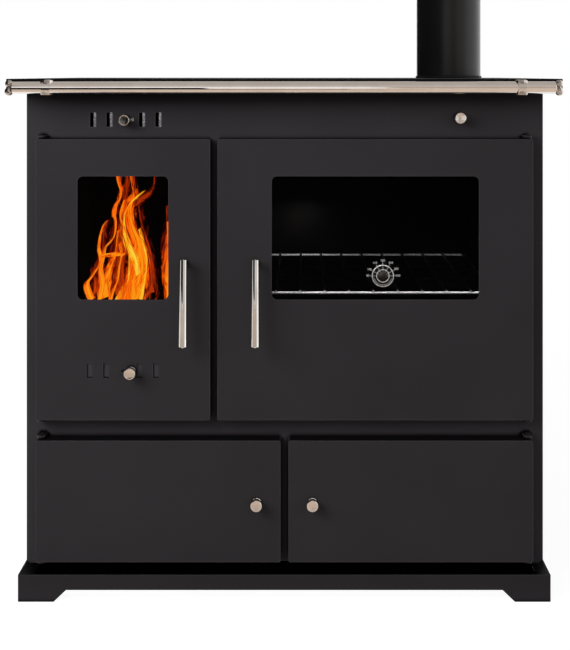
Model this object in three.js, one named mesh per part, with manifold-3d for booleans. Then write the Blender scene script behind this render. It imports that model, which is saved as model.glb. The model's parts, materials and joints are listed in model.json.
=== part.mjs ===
// A freestanding wood-burning cookstove: firebox on the left, oven on the right, two stores below.
// Lengths are millimetres. X runs to the right, Y to the rear and Z up, seen from the front.
// While it is drawn, Y = 0 is the front of the casing; the finished stove is then moved so that
// its origin lies under the middle of its whole outline, on the floor.

import * as THREE from 'three';
import { mergeVertices } from 'three/addons/utils/BufferGeometryUtils.js';
import Module from 'manifold-3d';

const wasm = await Module();
wasm.setup();

// ---------------------------------------------------------------- driving dimensions

// Casing
const BODY_DEPTH = 560;
const SHEET = 3;
const FIT = 0.3; // clearance between pieces that touch
const HOLE_PLAY = 1; // holes wider than the rods and bars that slide in them
const OVER = 1; // how far a cutter or a joined piece runs past a face
const STORE_DECK_HEIGHT = 273; // top of the sheet between the stores and the fire

// Plinth
const PLINTH_HEIGHT = 44;
const PLINTH_PROUD = 1.5; // wider than the casing, each side
const PLINTH_PROJECTION = 53; // in front of the casing
const PLINTH_FOOT = 58; // foot width on the floor
const PLINTH_ARCH_HEIGHT = 19;
const PLINTH_ARCH_SLOPE = 20; // how far each arch end leans
const PLINTH_FLANGE = 30;

// Worktop
const FASCIA_HEIGHT = 99.5; // top of the worktop above the main doors
const HOB_SIDE_OVERHANG = 24.5;
const HOB_FRONT_OVERHANG = 38;
const HOB_REAR_OVERHANG = 12;
const HOB_RIM_HEIGHT = 20;
const HOB_RIM_SHEET = 4;
const HOB_BORDER = 36; // width of the rim's flat top at the sides
const HOB_WELL_BACKSET = 13; // plate from the front and back sheets
const HOB_LEDGE = 16; // ledge that the plate rests on
const HOB_PLATE_THICKNESS = 8;
const HOB_RING_DIAMETER = 240;
const HOB_LID_DIAMETER = 150;
const HOB_REBATE = 6; // step that carries the ring, the lid and the flue collar
const HOB_DISC_PLAY = 1; // disc smaller than its hole, all round
const LIFTER_HOLE = 12;
const LIFTER_SLOT_LENGTH = 22;
const LIFTER_SLOT_WIDTH = 8;
const HOB_RING_BACKSET = 205; // middle of the ring behind the casing front

// Flue
const FLUE_DIAMETER = 130;
const FLUE_WALL = 2;
const FLUE_LENGTH = 250;
const FLUE_COLLAR_LIP = 2; // collar wider than the pipe, all round
const FLUE_COLLAR_HEIGHT = 4;
const FLUE_SPIGOT_LENGTH = 40;
const FLUE_SPIGOT_PLAY = 0.7;
const FLUE_SIDE_INSET = 102.5; // axis from the right side
const FLUE_BACK_INSET = 130; // axis from the back

// Towel rail
const RAIL_DIAMETER = 20;
const RAIL_END_INSET = 8; // rail's end from the worktop's side
const RAIL_DROP = 14; // axis under the worktop's top
const RAIL_STANDOFF = 32; // axis in front of the worktop's edge
const RAIL_RING_DIAMETER = 25;
const RAIL_RING_WIDTH = 13;
const RAIL_RING_INSET = 66; // ring from the rail's end
const RAIL_POST_DIAMETER = 11;
const RAIL_CAP_SOCKET = 10; // how far a cap goes over the rail
const RAIL_CAP_PROFILE = [ // under the ring's radius, from the cap's open end
  [1, 0],
  [0, 1],
  [0, 5],
  [2, 7],
  [1, 9],
  [1.5, 13],
  [5, 16],
];

// Doors
const DOOR_PROUD = 30; // front of a door before the casing
const DOOR_SHEET = 2.5;
const DOOR_GAP = 3.3; // edge of a door before the casing
const DOOR_SIDE_MARGIN = 22; // casing shown beside the doors
const DOOR_CORNER = 3;
const MAIN_DOOR_BOTTOM = 288;
const MAIN_DOOR_HEIGHT = 462.5;
const FIRE_DOOR_WIDTH = 287;
const MAIN_DOOR_SPACING = 12;
const STORE_DOOR_BOTTOM = 54.5;
const STORE_DOOR_HEIGHT = 200;
const STORE_DOOR_SPACING = 13;
const STORE_OPENING_LAP = 14; // how far a store door covers the casing
const FIRE_OPENING_LAP = 20;
const OVEN_SIDE_LAP = 40; // how far the oven door covers the casing beside the oven
const LINER_DEPTH = 19.5; // from a door's front to its inner sheet
const SEAL_WIDTH = 8;
const SEAL_MARGIN = 5; // seal outside its opening
const SEAL_INNER_CORNER = 2;

// Windows
const FIRE_WINDOW_MARGIN = 68.75; // window from the door's sides
const OVEN_WINDOW_MARGIN = 89.5;
const WINDOW_HEIGHT = 203;
const WINDOW_DROP = 61; // from the door's top
const WINDOW_CORNER = 9;
const GLASS_THICKNESS = 4;
const GLASS_LAP = 15; // glass hidden behind the door, each side
const COLLAR_MARGIN = 5; // inner collar outside the window

// Hinges
const HINGE_INSET = 6.5; // axis from the door's edge
const HINGE_BACKSET = 15; // axis behind the door's front
const HINGE_ROD_DIAMETER = 6;
const HINGE_LUG_WIDTH = 14;
const HINGE_LUG_THICKNESS = 5;
const HINGE_LUG_GAP = 0.6; // lug from the door's edge
const HINGE_HEAD_HEIGHT = 2.5;
const HINGE_HEAD_PROUD = 1.5; // head over the rod, all round

// Handles and knobs
const HANDLE_LENGTH = 141;
const HANDLE_TOP_DIAMETER = 12.5;
const HANDLE_BOTTOM_DIAMETER = 15;
const HANDLE_LEAN = 13; // how much further out the lower end stands
const HANDLE_STANDOFF = 22; // bar axis at the spindle, before the door
const HANDLE_SPINDLE_DIAMETER = 10;
const HANDLE_SPINDLE_HEIGHT = 259.5; // above the door's bottom
const HANDLE_TOP_MARGIN = 9; // bar above the spindle
const FIRE_HANDLE_INSET = 41.5; // spindle from the door's free edge
const OVEN_HANDLE_INSET = 63.5;
const LATCH_THICKNESS = 4;
const LATCH_WIDTH = 10;
const LATCH_CLEARANCE = 3; // tongue from the edge of the opening
const LATCH_PLAY = 1; // tongue behind the casing's front plate
const KNOB_DIAMETER = 19;
const KNOB_PROFILE = [ // share of the rim's radius, height from the back
  [0.7, 0],
  [0.7, 2],
  [0.62, 3.5],
  [0.72, 6],
  [0.94, 8.5],
  [1, 10],
  [1, 17.4],
  [0.83, 19],
];
const KNOB_SHANK_DIAMETER = 5;
const STORE_KNOB_INSET = 39.5; // from the free edge
const STORE_KNOB_HEIGHT = 99; // above the door's bottom

// Air slides
const SLOT_WIDTH = 10;
const SLOT_HEIGHT = 24;
const SLOT_PITCH = 27.3;
const SLIDE_THICKNESS = 2;
const SLIDE_WINDOW = 14;
const SLIDE_MARGIN = 6; // slide above and below its windows
const SLIDE_END = 12; // slide beyond its last window
const SLIDE_LIP = 4; // guide over the edge of the slide
const SLIDE_SHANK_PROUD = 3; // knob's shank before the sheet
const UPPER_SLIDE_RISE = 31; // slots above the main doors
const LOWER_SLIDE_RISE = 81.8; // slots above the fire door's bottom
const UPPER_SLIDE_OFFSET = -7; // windows from their slots: half open
const LOWER_SLIDE_OFFSET = 13.65; // windows from their slots: closed
const UPPER_KNOB_OFFSET = 0;
const LOWER_KNOB_OFFSET = 14;
const UPPER_TRAVEL_LEFT = 7;
const UPPER_TRAVEL_RIGHT = 13;
const LOWER_TRAVEL_LEFT = 14;
const LOWER_TRAVEL_RIGHT = 0;

// Firebox
const FIRE_DEPTH = 417; // inside its casing
const FIRE_LEDGE = 15; // ledges under the grate's frame
const FIRE_LEDGE_BACKSET = 10;
const GRATE_LEVEL = 468;
const GRATE_FRAME_THICKNESS = 12;
const GRATE_FRAME_BACKSET = 8;
const GRATE_LAP = 6; // grate over its frame
const GRATE_WIDTH = 196;
const GRATE_DEPTH = 296;
const GRATE_THICKNESS = 9;
const GRATE_SLOT = 10;
const GRATE_BORDER = 14; // grate before and behind its slots
const GRATE_SLOTS = 9;
const BRICK_THICKNESS = 28;
const BRICK_HEIGHT = 250;
const BRICK_CHAMFER = 3;
const BRICK_BACKSET = 9;
const FIRE_GAS_DROP = 110; // right wall of the firebox below the worktop
const ASH_PAN_WIDTH = 190;
const ASH_PAN_DEPTH = 340;
const ASH_PAN_HEIGHT = 58;
const ASH_PAN_SHEET = 1.5;
const ASH_PAN_BACKSET = 45;
const ASH_PAN_GRIP = 80;
const ASH_PAN_GRIP_DEPTH = 14;
const ASH_PAN_GRIP_HEIGHT = 12;

// Oven
const OVEN_WIDTH = 440;
const OVEN_HEIGHT = 320;
const OVEN_DEPTH = 434;
const OVEN_SHEET = 2.5;
const OVEN_DROP = 45.5; // below the oven door's top
const RACK_LEVEL = 104; // wires above the oven floor
const RACK_WIRE = 4;
const RACK_WIRES = 11;
const RACK_SIDE_PLAY = 2; // rack from the oven's walls
const RACK_WIRE_MARGIN = 11.5; // first and last wire from the rack's sides
const RACK_WIRE_SINK = 0.2; // share of a wire's thickness sunk into the wires below
const WIRE_SIDES = 6;
const RACK_BACKSET = 24; // front wire behind the casing front
const RACK_DEPTH = 407;
const RUNNER_WIDTH = 10;
const RUNNER_THICKNESS = 3;
const RUNNER_BACKSET = 5;
const THERMOMETER_DIAMETER = 36;
const THERMOMETER_STEM = 8;
const THERMOMETER_STEM_LENGTH = 14; // behind the glass
const THERMOMETER_RIM = 3;
const THERMOMETER_DIAL_BACKSET = 1.5; // dial behind the door's front
const POINTER_HUB = 5;
const POINTER_WIDTH = 1.6;
const POINTER_TAIL = 6;
const THERMOMETER_RISE = 39; // above the window's lower edge
const THERMOMETER_OFFSET = 12.5; // right of the window's middle

// Smoke way and damper
const DAMPER_SIDE_INSET = 140.5; // rod from the right side
const DAMPER_RISE = 34.5; // rod above the main doors
const DAMPER_ROD_DIAMETER = 8;
const DAMPER_ROD_PROUD = 4; // rod before the casing
const DAMPER_OPENING_WIDTH = 100;
const DAMPER_OPENING_HEIGHT = 60;
const DAMPER_LAP = 8;
const SMOKE_BOX_FRONT = 350; // behind the casing front
const SMOKE_BOX_WIDTH = 210;
const DAMPER_GUIDE_BACKSET = 200;
const DAMPER_GUIDE_MARGIN = 12; // guide around the rod's axis

// ---------------------------------------------------------------- planes worked out from them

const ovenDoorWidth = OVEN_WIDTH + 2 * OVEN_SIDE_LAP;
const bodyWidth = 2 * DOOR_SIDE_MARGIN + FIRE_DOOR_WIDTH + MAIN_DOOR_SPACING + ovenDoorWidth;
const bodyLeft = -bodyWidth / 2;
const bodyRight = bodyWidth / 2;
const innerLeft = bodyLeft + SHEET;
const innerRight = bodyRight - SHEET;
const frontRear = SHEET; // rear face of the front plate
const backFront = BODY_DEPTH - SHEET;
const mainDoorTop = MAIN_DOOR_BOTTOM + MAIN_DOOR_HEIGHT;
const hobHeight = mainDoorTop + FASCIA_HEIGHT;
const hobUnderside = hobHeight - HOB_RIM_SHEET;
const bodyTop = hobUnderside - FIT;
const bodyBottom = PLINTH_HEIGHT + FIT;
const ledgeTop = hobHeight - HOB_PLATE_THICKNESS - FIT;
const ledgeBottom = ledgeTop - SHEET;
const innerTop = ledgeBottom - FIT; // highest point of the inner sheets
const deckBottom = STORE_DECK_HEIGHT - SHEET;

const fireDoorLeft = bodyLeft + DOOR_SIDE_MARGIN;
const ovenDoorLeft = fireDoorLeft + FIRE_DOOR_WIDTH + MAIN_DOOR_SPACING;
const storeDoorWidth = (bodyWidth - STORE_DOOR_SPACING) / 2 - DOOR_SIDE_MARGIN;
const panDepth = DOOR_PROUD - DOOR_GAP;

const fireOpening = {
  left: fireDoorLeft + FIRE_OPENING_LAP,
  right: fireDoorLeft + FIRE_DOOR_WIDTH - FIRE_OPENING_LAP,
  bottom: MAIN_DOOR_BOTTOM + FIRE_OPENING_LAP,
  top: mainDoorTop - FIRE_OPENING_LAP,
};
const ovenMiddle = ovenDoorLeft + ovenDoorWidth / 2;
const ovenOpening = {
  left: ovenMiddle - OVEN_WIDTH / 2,
  right: ovenMiddle + OVEN_WIDTH / 2,
  bottom: mainDoorTop - OVEN_DROP - OVEN_HEIGHT,
  top: mainDoorTop - OVEN_DROP,
};
const fireMiddle = fireDoorLeft + FIRE_DOOR_WIDTH / 2;
const upperSlideHeight = mainDoorTop + UPPER_SLIDE_RISE;
const damperX = bodyRight - DAMPER_SIDE_INSET;
const damperHeight = mainDoorTop + DAMPER_RISE;
const flueX = bodyRight - FLUE_SIDE_INSET;
const flueY = BODY_DEPTH - FLUE_BACK_INSET;

// ---------------------------------------------------------------- materials

const paint = new THREE.MeshStandardMaterial({ color: 0x2e2c2f, roughness: 0.6, metalness: 0.2 });
const innerSheet = new THREE.MeshStandardMaterial({ color: 0x1c1b1c, roughness: 0.8, metalness: 0.3 });
const castIron = new THREE.MeshStandardMaterial({ color: 0x252526, roughness: 0.7, metalness: 0.5 });
const polished = new THREE.MeshStandardMaterial({ color: 0xc9c3ba, roughness: 0.15, metalness: 1 });
const galvanised = new THREE.MeshStandardMaterial({ color: 0xa9acb0, roughness: 0.4, metalness: 0.9 });
const chamotte = new THREE.MeshStandardMaterial({ color: 0xb99b77, roughness: 0.95, metalness: 0 });
const darkGlass = new THREE.MeshStandardMaterial({ color: 0x050506, roughness: 0.05, metalness: 0 });
const rope = new THREE.MeshStandardMaterial({ color: 0x4a4744, roughness: 1, metalness: 0 });

for (const material of [paint, innerSheet, castIron, polished, galvanised, chamotte, darkGlass, rope]) {
  material.flatShading = true;
}

// ---------------------------------------------------------------- solids

/** Makes a closed three.js geometry into a solid that can be joined and cut. */
function solidFrom(geometry) {
  const bare = geometry.clone();
  bare.deleteAttribute('normal');
  bare.deleteAttribute('uv');
  const welded = mergeVertices(bare, 1e-4);
  const corners = welded.index.array;
  const triangles = [];
  for (let i = 0; i < corners.length; i += 3) {
    const [a, b, c] = [corners[i], corners[i + 1], corners[i + 2]];
    if (a !== b && b !== c && c !== a) {
      triangles.push(a, b, c);
    }
  }
  return new wasm.Manifold(new wasm.Mesh({
    numProp: 3,
    vertProperties: new Float32Array(welded.attributes.position.array),
    triVerts: new Uint32Array(triangles),
  }));
}

/** Gives a solid back as a geometry. */
function geometryFrom(solid) {
  const { vertProperties, triVerts } = solid.getMesh();
  const geometry = new THREE.BufferGeometry();
  geometry.setAttribute('position', new THREE.BufferAttribute(vertProperties, 3));
  geometry.setIndex(new THREE.BufferAttribute(triVerts, 1));
  geometry.computeVertexNormals();
  return geometry;
}

const join = (first, ...others) => others.reduce((whole, piece) => whole.add(piece), first);
const cut = (whole, ...holes) => holes.reduce((rest, hole) => rest.subtract(hole), whole);

/** A box between two values of x, of y and of z. */
function box(x, y, z) {
  const geometry = new THREE.BoxGeometry(x[1] - x[0], y[1] - y[0], z[1] - z[0]);
  geometry.translate((x[0] + x[1]) / 2, (y[0] + y[1]) / 2, (z[0] + z[1]) / 2);
  return solidFrom(geometry);
}

/** A rectangle with round corners, between two values of each of its axes. */
function roundedOutline(a, b, radius) {
  const outline = new THREE.Shape();
  outline.absarc(a[1] - radius, b[0] + radius, radius, -Math.PI / 2, 0);
  outline.absarc(a[1] - radius, b[1] - radius, radius, 0, Math.PI / 2);
  outline.absarc(a[0] + radius, b[1] - radius, radius, Math.PI / 2, Math.PI);
  outline.absarc(a[0] + radius, b[0] + radius, radius, Math.PI, Math.PI * 1.5);
  outline.closePath();
  return outline;
}

/** An outline drawn in X and Z, as thick as the two values of y. */
function standing(outline, y, curveSegments = 3) {
  const geometry = new THREE.ExtrudeGeometry(outline, {
    depth: y[1] - y[0],
    bevelEnabled: false,
    curveSegments,
  });
  geometry.rotateX(Math.PI / 2);
  geometry.translate(0, y[1], 0);
  return solidFrom(geometry);
}

/** An outline drawn in X and Y, as thick as the two values of z. */
function lying(outline, z, curveSegments = 3) {
  const geometry = new THREE.ExtrudeGeometry(outline, {
    depth: z[1] - z[0],
    bevelEnabled: false,
    curveSegments,
  });
  geometry.translate(0, 0, z[0]);
  return solidFrom(geometry);
}

/** A round bar along one axis: `at` gives the other two coordinates, in their own order. */
function bar(axis, diameter, span, at, sides = 16) {
  const geometry = new THREE.CylinderGeometry(diameter / 2, diameter / 2, span[1] - span[0], sides);
  const middle = (span[0] + span[1]) / 2;
  if (axis === 'x') {
    geometry.rotateZ(Math.PI / 2);
    geometry.translate(middle, at[0], at[1]);
  } else if (axis === 'y') {
    geometry.translate(at[0], middle, at[1]);
  } else {
    geometry.rotateX(Math.PI / 2);
    geometry.translate(at[0], at[1], middle);
  }
  return solidFrom(geometry);
}

/** A profile of [radius, height] pairs, listed upwards along its outside, turned about Z. */
function turned(profile, sides = 24) {
  const points = profile.map(([radius, height]) => new THREE.Vector2(radius, height));
  const geometry = new THREE.LatheGeometry(points, sides);
  geometry.rotateX(Math.PI / 2);
  return solidFrom(geometry);
}

/** A closed ring section of [radius, height] pairs turned about Z. */
const turnedRing = (profile, sides) => turned([...profile, profile[0]], sides);

function part(name, solid, material) {
  const mesh = new THREE.Mesh(geometryFrom(solid), material);
  mesh.name = name;
  return mesh;
}

function placed(object, x, y, z) {
  object.position.set(x, y, z);
  return object;
}

// ---------------------------------------------------------------- plinth

/** The front or rear face of the plinth, with its flat arch. */
function plinthFace(left, right) {
  const outline = new THREE.Shape();
  outline.moveTo(left, 0);
  outline.lineTo(bodyLeft - PLINTH_PROUD + PLINTH_FOOT, 0);
  outline.lineTo(bodyLeft - PLINTH_PROUD + PLINTH_FOOT + PLINTH_ARCH_SLOPE, PLINTH_ARCH_HEIGHT);
  outline.lineTo(bodyRight + PLINTH_PROUD - PLINTH_FOOT - PLINTH_ARCH_SLOPE, PLINTH_ARCH_HEIGHT);
  outline.lineTo(bodyRight + PLINTH_PROUD - PLINTH_FOOT, 0);
  outline.lineTo(right, 0);
  outline.lineTo(right, PLINTH_HEIGHT);
  outline.lineTo(left, PLINTH_HEIGHT);
  outline.closePath();
  return outline;
}

/** One side of the plinth: a wall with a flange under the casing. `side` is -1 left, 1 right. */
function plinthSide(side) {
  const outer = side * (bodyRight + PLINTH_PROUD);
  const inner = outer - side * SHEET;
  const flangeEdge = outer - side * PLINTH_FLANGE;
  const across = (from, to) => [Math.min(from, to), Math.max(from, to)];
  const rear = backFront - FIT;
  return join(
    box(across(outer, inner), [-PLINTH_PROJECTION + SHEET + FIT, rear], [0, PLINTH_HEIGHT]),
    box(across(outer, flangeEdge), [0, rear], [PLINTH_HEIGHT - SHEET, PLINTH_HEIGHT]),
  );
}

function makePlinth() {
  const left = bodyLeft - PLINTH_PROUD;
  const right = bodyRight + PLINTH_PROUD;
  const front = -PLINTH_PROJECTION;
  return [
    part('plinth_front', standing(plinthFace(left, right), [front, front + SHEET]), paint),
    part('plinth_left', plinthSide(-1), paint),
    part('plinth_right', plinthSide(1), paint),
    part('plinth_rear', standing(plinthFace(left, right), [backFront, BODY_DEPTH]), paint),
  ];
}

// ---------------------------------------------------------------- casing

/** Where the four slots of an air slide lie, in pitches from its middle. */
const slotSteps = [-2, -1, 1, 2];

/** The four slots of an air slide and the short slot of its knob, cut through `y`. */
function airSlots(middle, height, y, knobSpan) {
  const halfHeight = SLOT_HEIGHT / 2;
  const cuts = slotSteps.map((step) => {
    const x = middle + step * SLOT_PITCH;
    return box([x - SLOT_WIDTH / 2, x + SLOT_WIDTH / 2], y, [height - halfHeight, height + halfHeight]);
  });
  const reach = KNOB_SHANK_DIAMETER / 2 + FIT;
  const knobSlot = roundedOutline(
    [knobSpan[0] - reach, knobSpan[1] + reach],
    [height - reach, height + reach],
    reach * 0.95,
  );
  cuts.push(standing(knobSlot, y, 4));
  return cuts;
}

/** Two folded rails that hold an air slide against the face at `y`. */
function slideGuides(middle, height, y) {
  const half = 2 * SLOT_PITCH + SLIDE_WINDOW / 2 + SLIDE_END + SLIDE_WINDOW;
  const edge = SLOT_HEIGHT / 2 + SLIDE_MARGIN + FIT;
  const slideRear = y + FIT + SLIDE_THICKNESS + FIT;
  const span = [middle - half, middle + half];
  return [-1, 1].flatMap((side) => {
    const between = (near, far) => {
      const [a, b] = [height + side * near, height + side * far];
      return [Math.min(a, b), Math.max(a, b)];
    };
    const guideRear = slideRear + SLIDE_THICKNESS;
    const foot = box(span, [y - FIT, guideRear], between(edge, edge + SLIDE_LIP));
    const lip = box(span, [slideRear, guideRear], between(edge - SLIDE_LIP, edge + SLIDE_LIP));
    return [foot, lip];
  });
}

/** The two lugs that carry one door, drawn on the casing front. */
function hingeLugs(x, bottom, top) {
  const depth = [-DOOR_PROUD + HINGE_BACKSET - HINGE_LUG_WIDTH / 2, FIT];
  const across = [x - HINGE_LUG_WIDTH / 2, x + HINGE_LUG_WIDTH / 2];
  const levels = [
    [bottom - HINGE_LUG_GAP - HINGE_LUG_THICKNESS, bottom - HINGE_LUG_GAP],
    [top + HINGE_LUG_GAP, top + HINGE_LUG_GAP + HINGE_LUG_THICKNESS],
  ];
  return levels.map((z) => {
    const lug = lying(roundedOutline(across, depth, HINGE_LUG_WIDTH / 2 - 1), z);
    const root = box(across, [-HINGE_LUG_WIDTH / 2, FIT], z);
    const through = [z[0] - OVER, z[1] + OVER];
    const hole = bar('z', HINGE_ROD_DIAMETER + 2 * FIT, through, [x, HINGE_BACKSET - DOOR_PROUD]);
    return cut(join(lug, root), hole);
  });
}

const storeDoors = [
  { name: 'store_door_left', left: bodyLeft + DOOR_SIDE_MARGIN, hingeSide: -1 },
  { name: 'store_door_right', left: STORE_DOOR_SPACING / 2, hingeSide: 1 },
];
const storeDoorTop = STORE_DOOR_BOTTOM + STORE_DOOR_HEIGHT;

/** X of a door's hinge axis from its left edge. */
const hingeOffset = (width, hingeSide) => (hingeSide < 0 ? HINGE_INSET : width - HINGE_INSET);

const hinges = [
  { name: 'fire_door', x: fireDoorLeft + HINGE_INSET, bottom: MAIN_DOOR_BOTTOM, top: mainDoorTop },
  {
    name: 'oven_door',
    x: ovenDoorLeft + ovenDoorWidth - HINGE_INSET,
    bottom: MAIN_DOOR_BOTTOM,
    top: mainDoorTop,
  },
  ...storeDoors.map(({ name, left, hingeSide }) => ({
    name,
    x: left + hingeOffset(storeDoorWidth, hingeSide),
    bottom: STORE_DOOR_BOTTOM,
    top: storeDoorTop,
  })),
];

function makeFrontPlate() {
  const through = [-OVER, SHEET + OVER];
  const opening = ({ left, right, bottom, top }) => box([left, right], through, [bottom, top]);
  const storeOpenings = storeDoors.map(({ left }) => opening({
    left: left + STORE_OPENING_LAP,
    right: left + storeDoorWidth - STORE_OPENING_LAP,
    bottom: STORE_DOOR_BOTTOM + STORE_OPENING_LAP,
    top: storeDoorTop - STORE_OPENING_LAP,
  }));
  const knobX = fireMiddle + UPPER_KNOB_OFFSET;
  const plate = box([bodyLeft, bodyRight], [0, SHEET], [bodyBottom, bodyTop]);
  const lugs = hinges.flatMap(({ x, bottom, top }) => hingeLugs(x, bottom, top));
  const guides = slideGuides(fireMiddle, upperSlideHeight, frontRear);
  const knobSpan = [knobX - UPPER_TRAVEL_LEFT, knobX + UPPER_TRAVEL_RIGHT];
  return cut(
    join(plate, ...lugs, ...guides),
    opening(fireOpening),
    opening(ovenOpening),
    ...storeOpenings,
    ...airSlots(fireMiddle, upperSlideHeight, through, knobSpan),
    bar('y', DAMPER_ROD_DIAMETER + HOLE_PLAY, through, [damperX, damperHeight]),
  );
}

/** A rod that drops through both lugs and through the folded edges of its door. */
function makeHingeRod({ name, x, bottom, top }) {
  const foot = bottom - HINGE_LUG_GAP - HINGE_LUG_THICKNESS;
  const head = top + HINGE_LUG_GAP + HINGE_LUG_THICKNESS + FIT;
  const at = [x, HINGE_BACKSET - DOOR_PROUD];
  const rod = join(
    bar('z', HINGE_ROD_DIAMETER, [foot, head + HINGE_HEAD_HEIGHT / 2], at, 12),
    bar('z', HINGE_ROD_DIAMETER + 2 * HINGE_HEAD_PROUD, [head, head + HINGE_HEAD_HEIGHT], at, 12),
  );
  return part(`${name}_hinge_rod`, rod, castIron);
}

function makeCasing() {
  const sideDepth = [frontRear + FIT, backFront - FIT];
  const sideHeight = [bodyBottom, bodyTop];
  const deckWidth = [innerLeft + FIT, innerRight - FIT];
  const partition = box(
    [-SHEET / 2, SHEET / 2],
    sideDepth,
    [bodyBottom + SHEET + FIT, deckBottom - FIT],
  );
  return [
    part('front_plate', makeFrontPlate(), paint),
    part('side_left', box([bodyLeft, innerLeft], sideDepth, sideHeight), paint),
    part('side_right', box([innerRight, bodyRight], sideDepth, sideHeight), paint),
    part('back_panel', box([bodyLeft, bodyRight], [backFront, BODY_DEPTH], sideHeight), paint),
    part('store_floor', box(deckWidth, sideDepth, [bodyBottom, bodyBottom + SHEET]), innerSheet),
    part('store_deck', box(deckWidth, sideDepth, [deckBottom, STORE_DECK_HEIGHT]), innerSheet),
    part('store_partition', partition, innerSheet),
    ...hinges.map(makeHingeRod),
  ];
}

// ---------------------------------------------------------------- worktop, flue and rail

const hobLeft = bodyLeft - HOB_SIDE_OVERHANG;
const hobRight = bodyRight + HOB_SIDE_OVERHANG;
const hobFront = -HOB_FRONT_OVERHANG;
const hobRear = BODY_DEPTH + HOB_REAR_OVERHANG;
const wellLeft = hobLeft + HOB_BORDER;
const wellRight = hobRight - HOB_BORDER;
const wellFront = frontRear + HOB_WELL_BACKSET;
const wellRear = backFront - HOB_WELL_BACKSET;

function makeHobFrame() {
  const outer = box([hobLeft, hobRight], [hobFront, hobRear], [hobHeight - HOB_RIM_HEIGHT, hobHeight]);
  const hollow = box(
    [hobLeft + HOB_RIM_SHEET, hobRight - HOB_RIM_SHEET],
    [hobFront + HOB_RIM_SHEET, hobRear - HOB_RIM_SHEET],
    [hobHeight - HOB_RIM_HEIGHT - OVER, hobUnderside],
  );
  const tray = box(
    [wellLeft - SHEET, wellRight + SHEET],
    [wellFront - SHEET, wellRear + SHEET],
    [ledgeBottom, hobHeight - OVER],
  );
  const well = box([wellLeft, wellRight], [wellFront, wellRear], [ledgeTop, hobHeight + OVER]);
  const mouth = box(
    [wellLeft + HOB_LEDGE, wellRight - HOB_LEDGE],
    [wellFront + HOB_LEDGE, wellRear - HOB_LEDGE],
    [ledgeBottom - OVER, hobHeight],
  );
  return cut(join(cut(outer, hollow), tray), well, mouth);
}

/** Half the plate's thickness: where the rings' steps lie. */
const stepHeight = hobHeight - HOB_PLATE_THICKNESS / 2;
const plateBottom = hobHeight - HOB_PLATE_THICKNESS;

/** A round stepped hole in the hob, centred on the Z axis. */
function steppedHole(diameter) {
  return turned([
    [0, plateBottom - OVER],
    [diameter / 2 - HOB_REBATE, plateBottom - OVER],
    [diameter / 2 - HOB_REBATE, stepHeight],
    [diameter / 2, stepHeight],
    [diameter / 2, hobHeight + OVER],
    [0, hobHeight + OVER],
  ], 40);
}

/** A disc whose edge steps in, so that it hangs in the stepped hole of the same diameter. */
function steppedDisc(diameter) {
  const outer = diameter / 2 - HOB_DISC_PLAY;
  const inner = outer - HOB_REBATE;
  return turned([
    [0, plateBottom],
    [inner, plateBottom],
    [inner, stepHeight + FIT],
    [outer, stepHeight + FIT],
    [outer, hobHeight],
    [0, hobHeight],
  ], 40);
}

function makeHob() {
  const plateX = [wellLeft + HOB_DISC_PLAY, wellRight - HOB_DISC_PLAY];
  const plateY = [wellFront + HOB_DISC_PLAY, wellRear - HOB_DISC_PLAY];
  const plate = cut(
    box(plateX, plateY, [plateBottom, hobHeight]),
    steppedHole(HOB_RING_DIAMETER).translate([fireMiddle, HOB_RING_BACKSET, 0]),
    steppedHole(FLUE_DIAMETER + 2 * (FLUE_COLLAR_LIP + HOB_DISC_PLAY)).translate([flueX, flueY, 0]),
  );
  const sunk = [stepHeight, hobHeight + OVER];
  const lifterHole = bar('z', LIFTER_HOLE, sunk, [0, 0], 12);
  const lifterSlot = box([-LIFTER_SLOT_LENGTH, 0], [-LIFTER_SLOT_WIDTH / 2, LIFTER_SLOT_WIDTH / 2], sunk);
  const ring = cut(steppedDisc(HOB_RING_DIAMETER), steppedHole(HOB_LID_DIAMETER));
  const lid = cut(steppedDisc(HOB_LID_DIAMETER), lifterHole, lifterSlot);
  return [
    part('hob_frame', makeHobFrame(), paint),
    part('hob_plate', plate, castIron),
    placed(part('hob_ring', ring, castIron), fireMiddle, HOB_RING_BACKSET, 0),
    placed(part('hob_lid', lid, castIron), fireMiddle, HOB_RING_BACKSET, 0),
  ];
}

/** A collar that hangs in a stepped hole of the plate, and the pipe that goes over its spigot. */
function makeFlue() {
  const lipTop = hobHeight + FLUE_COLLAR_HEIGHT;
  const pipeOuter = FLUE_DIAMETER / 2;
  const pipeInner = pipeOuter - FLUE_WALL;
  const spigotOuter = pipeInner - FLUE_SPIGOT_PLAY;
  const spigotInner = spigotOuter - FLUE_WALL;
  const lip = pipeOuter + FLUE_COLLAR_LIP;
  const collar = turnedRing([
    [spigotInner, plateBottom],
    [lip - HOB_REBATE, plateBottom],
    [lip - HOB_REBATE, stepHeight + FIT],
    [lip, stepHeight + FIT],
    [lip, lipTop],
    [spigotOuter, lipTop],
    [spigotOuter, lipTop + FLUE_SPIGOT_LENGTH],
    [spigotInner, lipTop + FLUE_SPIGOT_LENGTH],
  ], 40);
  const pipe = turnedRing([
    [pipeInner, lipTop + FIT],
    [pipeOuter, lipTop + FIT],
    [pipeOuter, lipTop + FLUE_LENGTH],
    [pipeInner, lipTop + FLUE_LENGTH],
  ], 40);
  return [
    placed(part('flue_collar', collar, castIron), flueX, flueY, 0),
    placed(part('flue_pipe', pipe, paint), flueX, flueY, 0),
  ];
}

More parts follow.
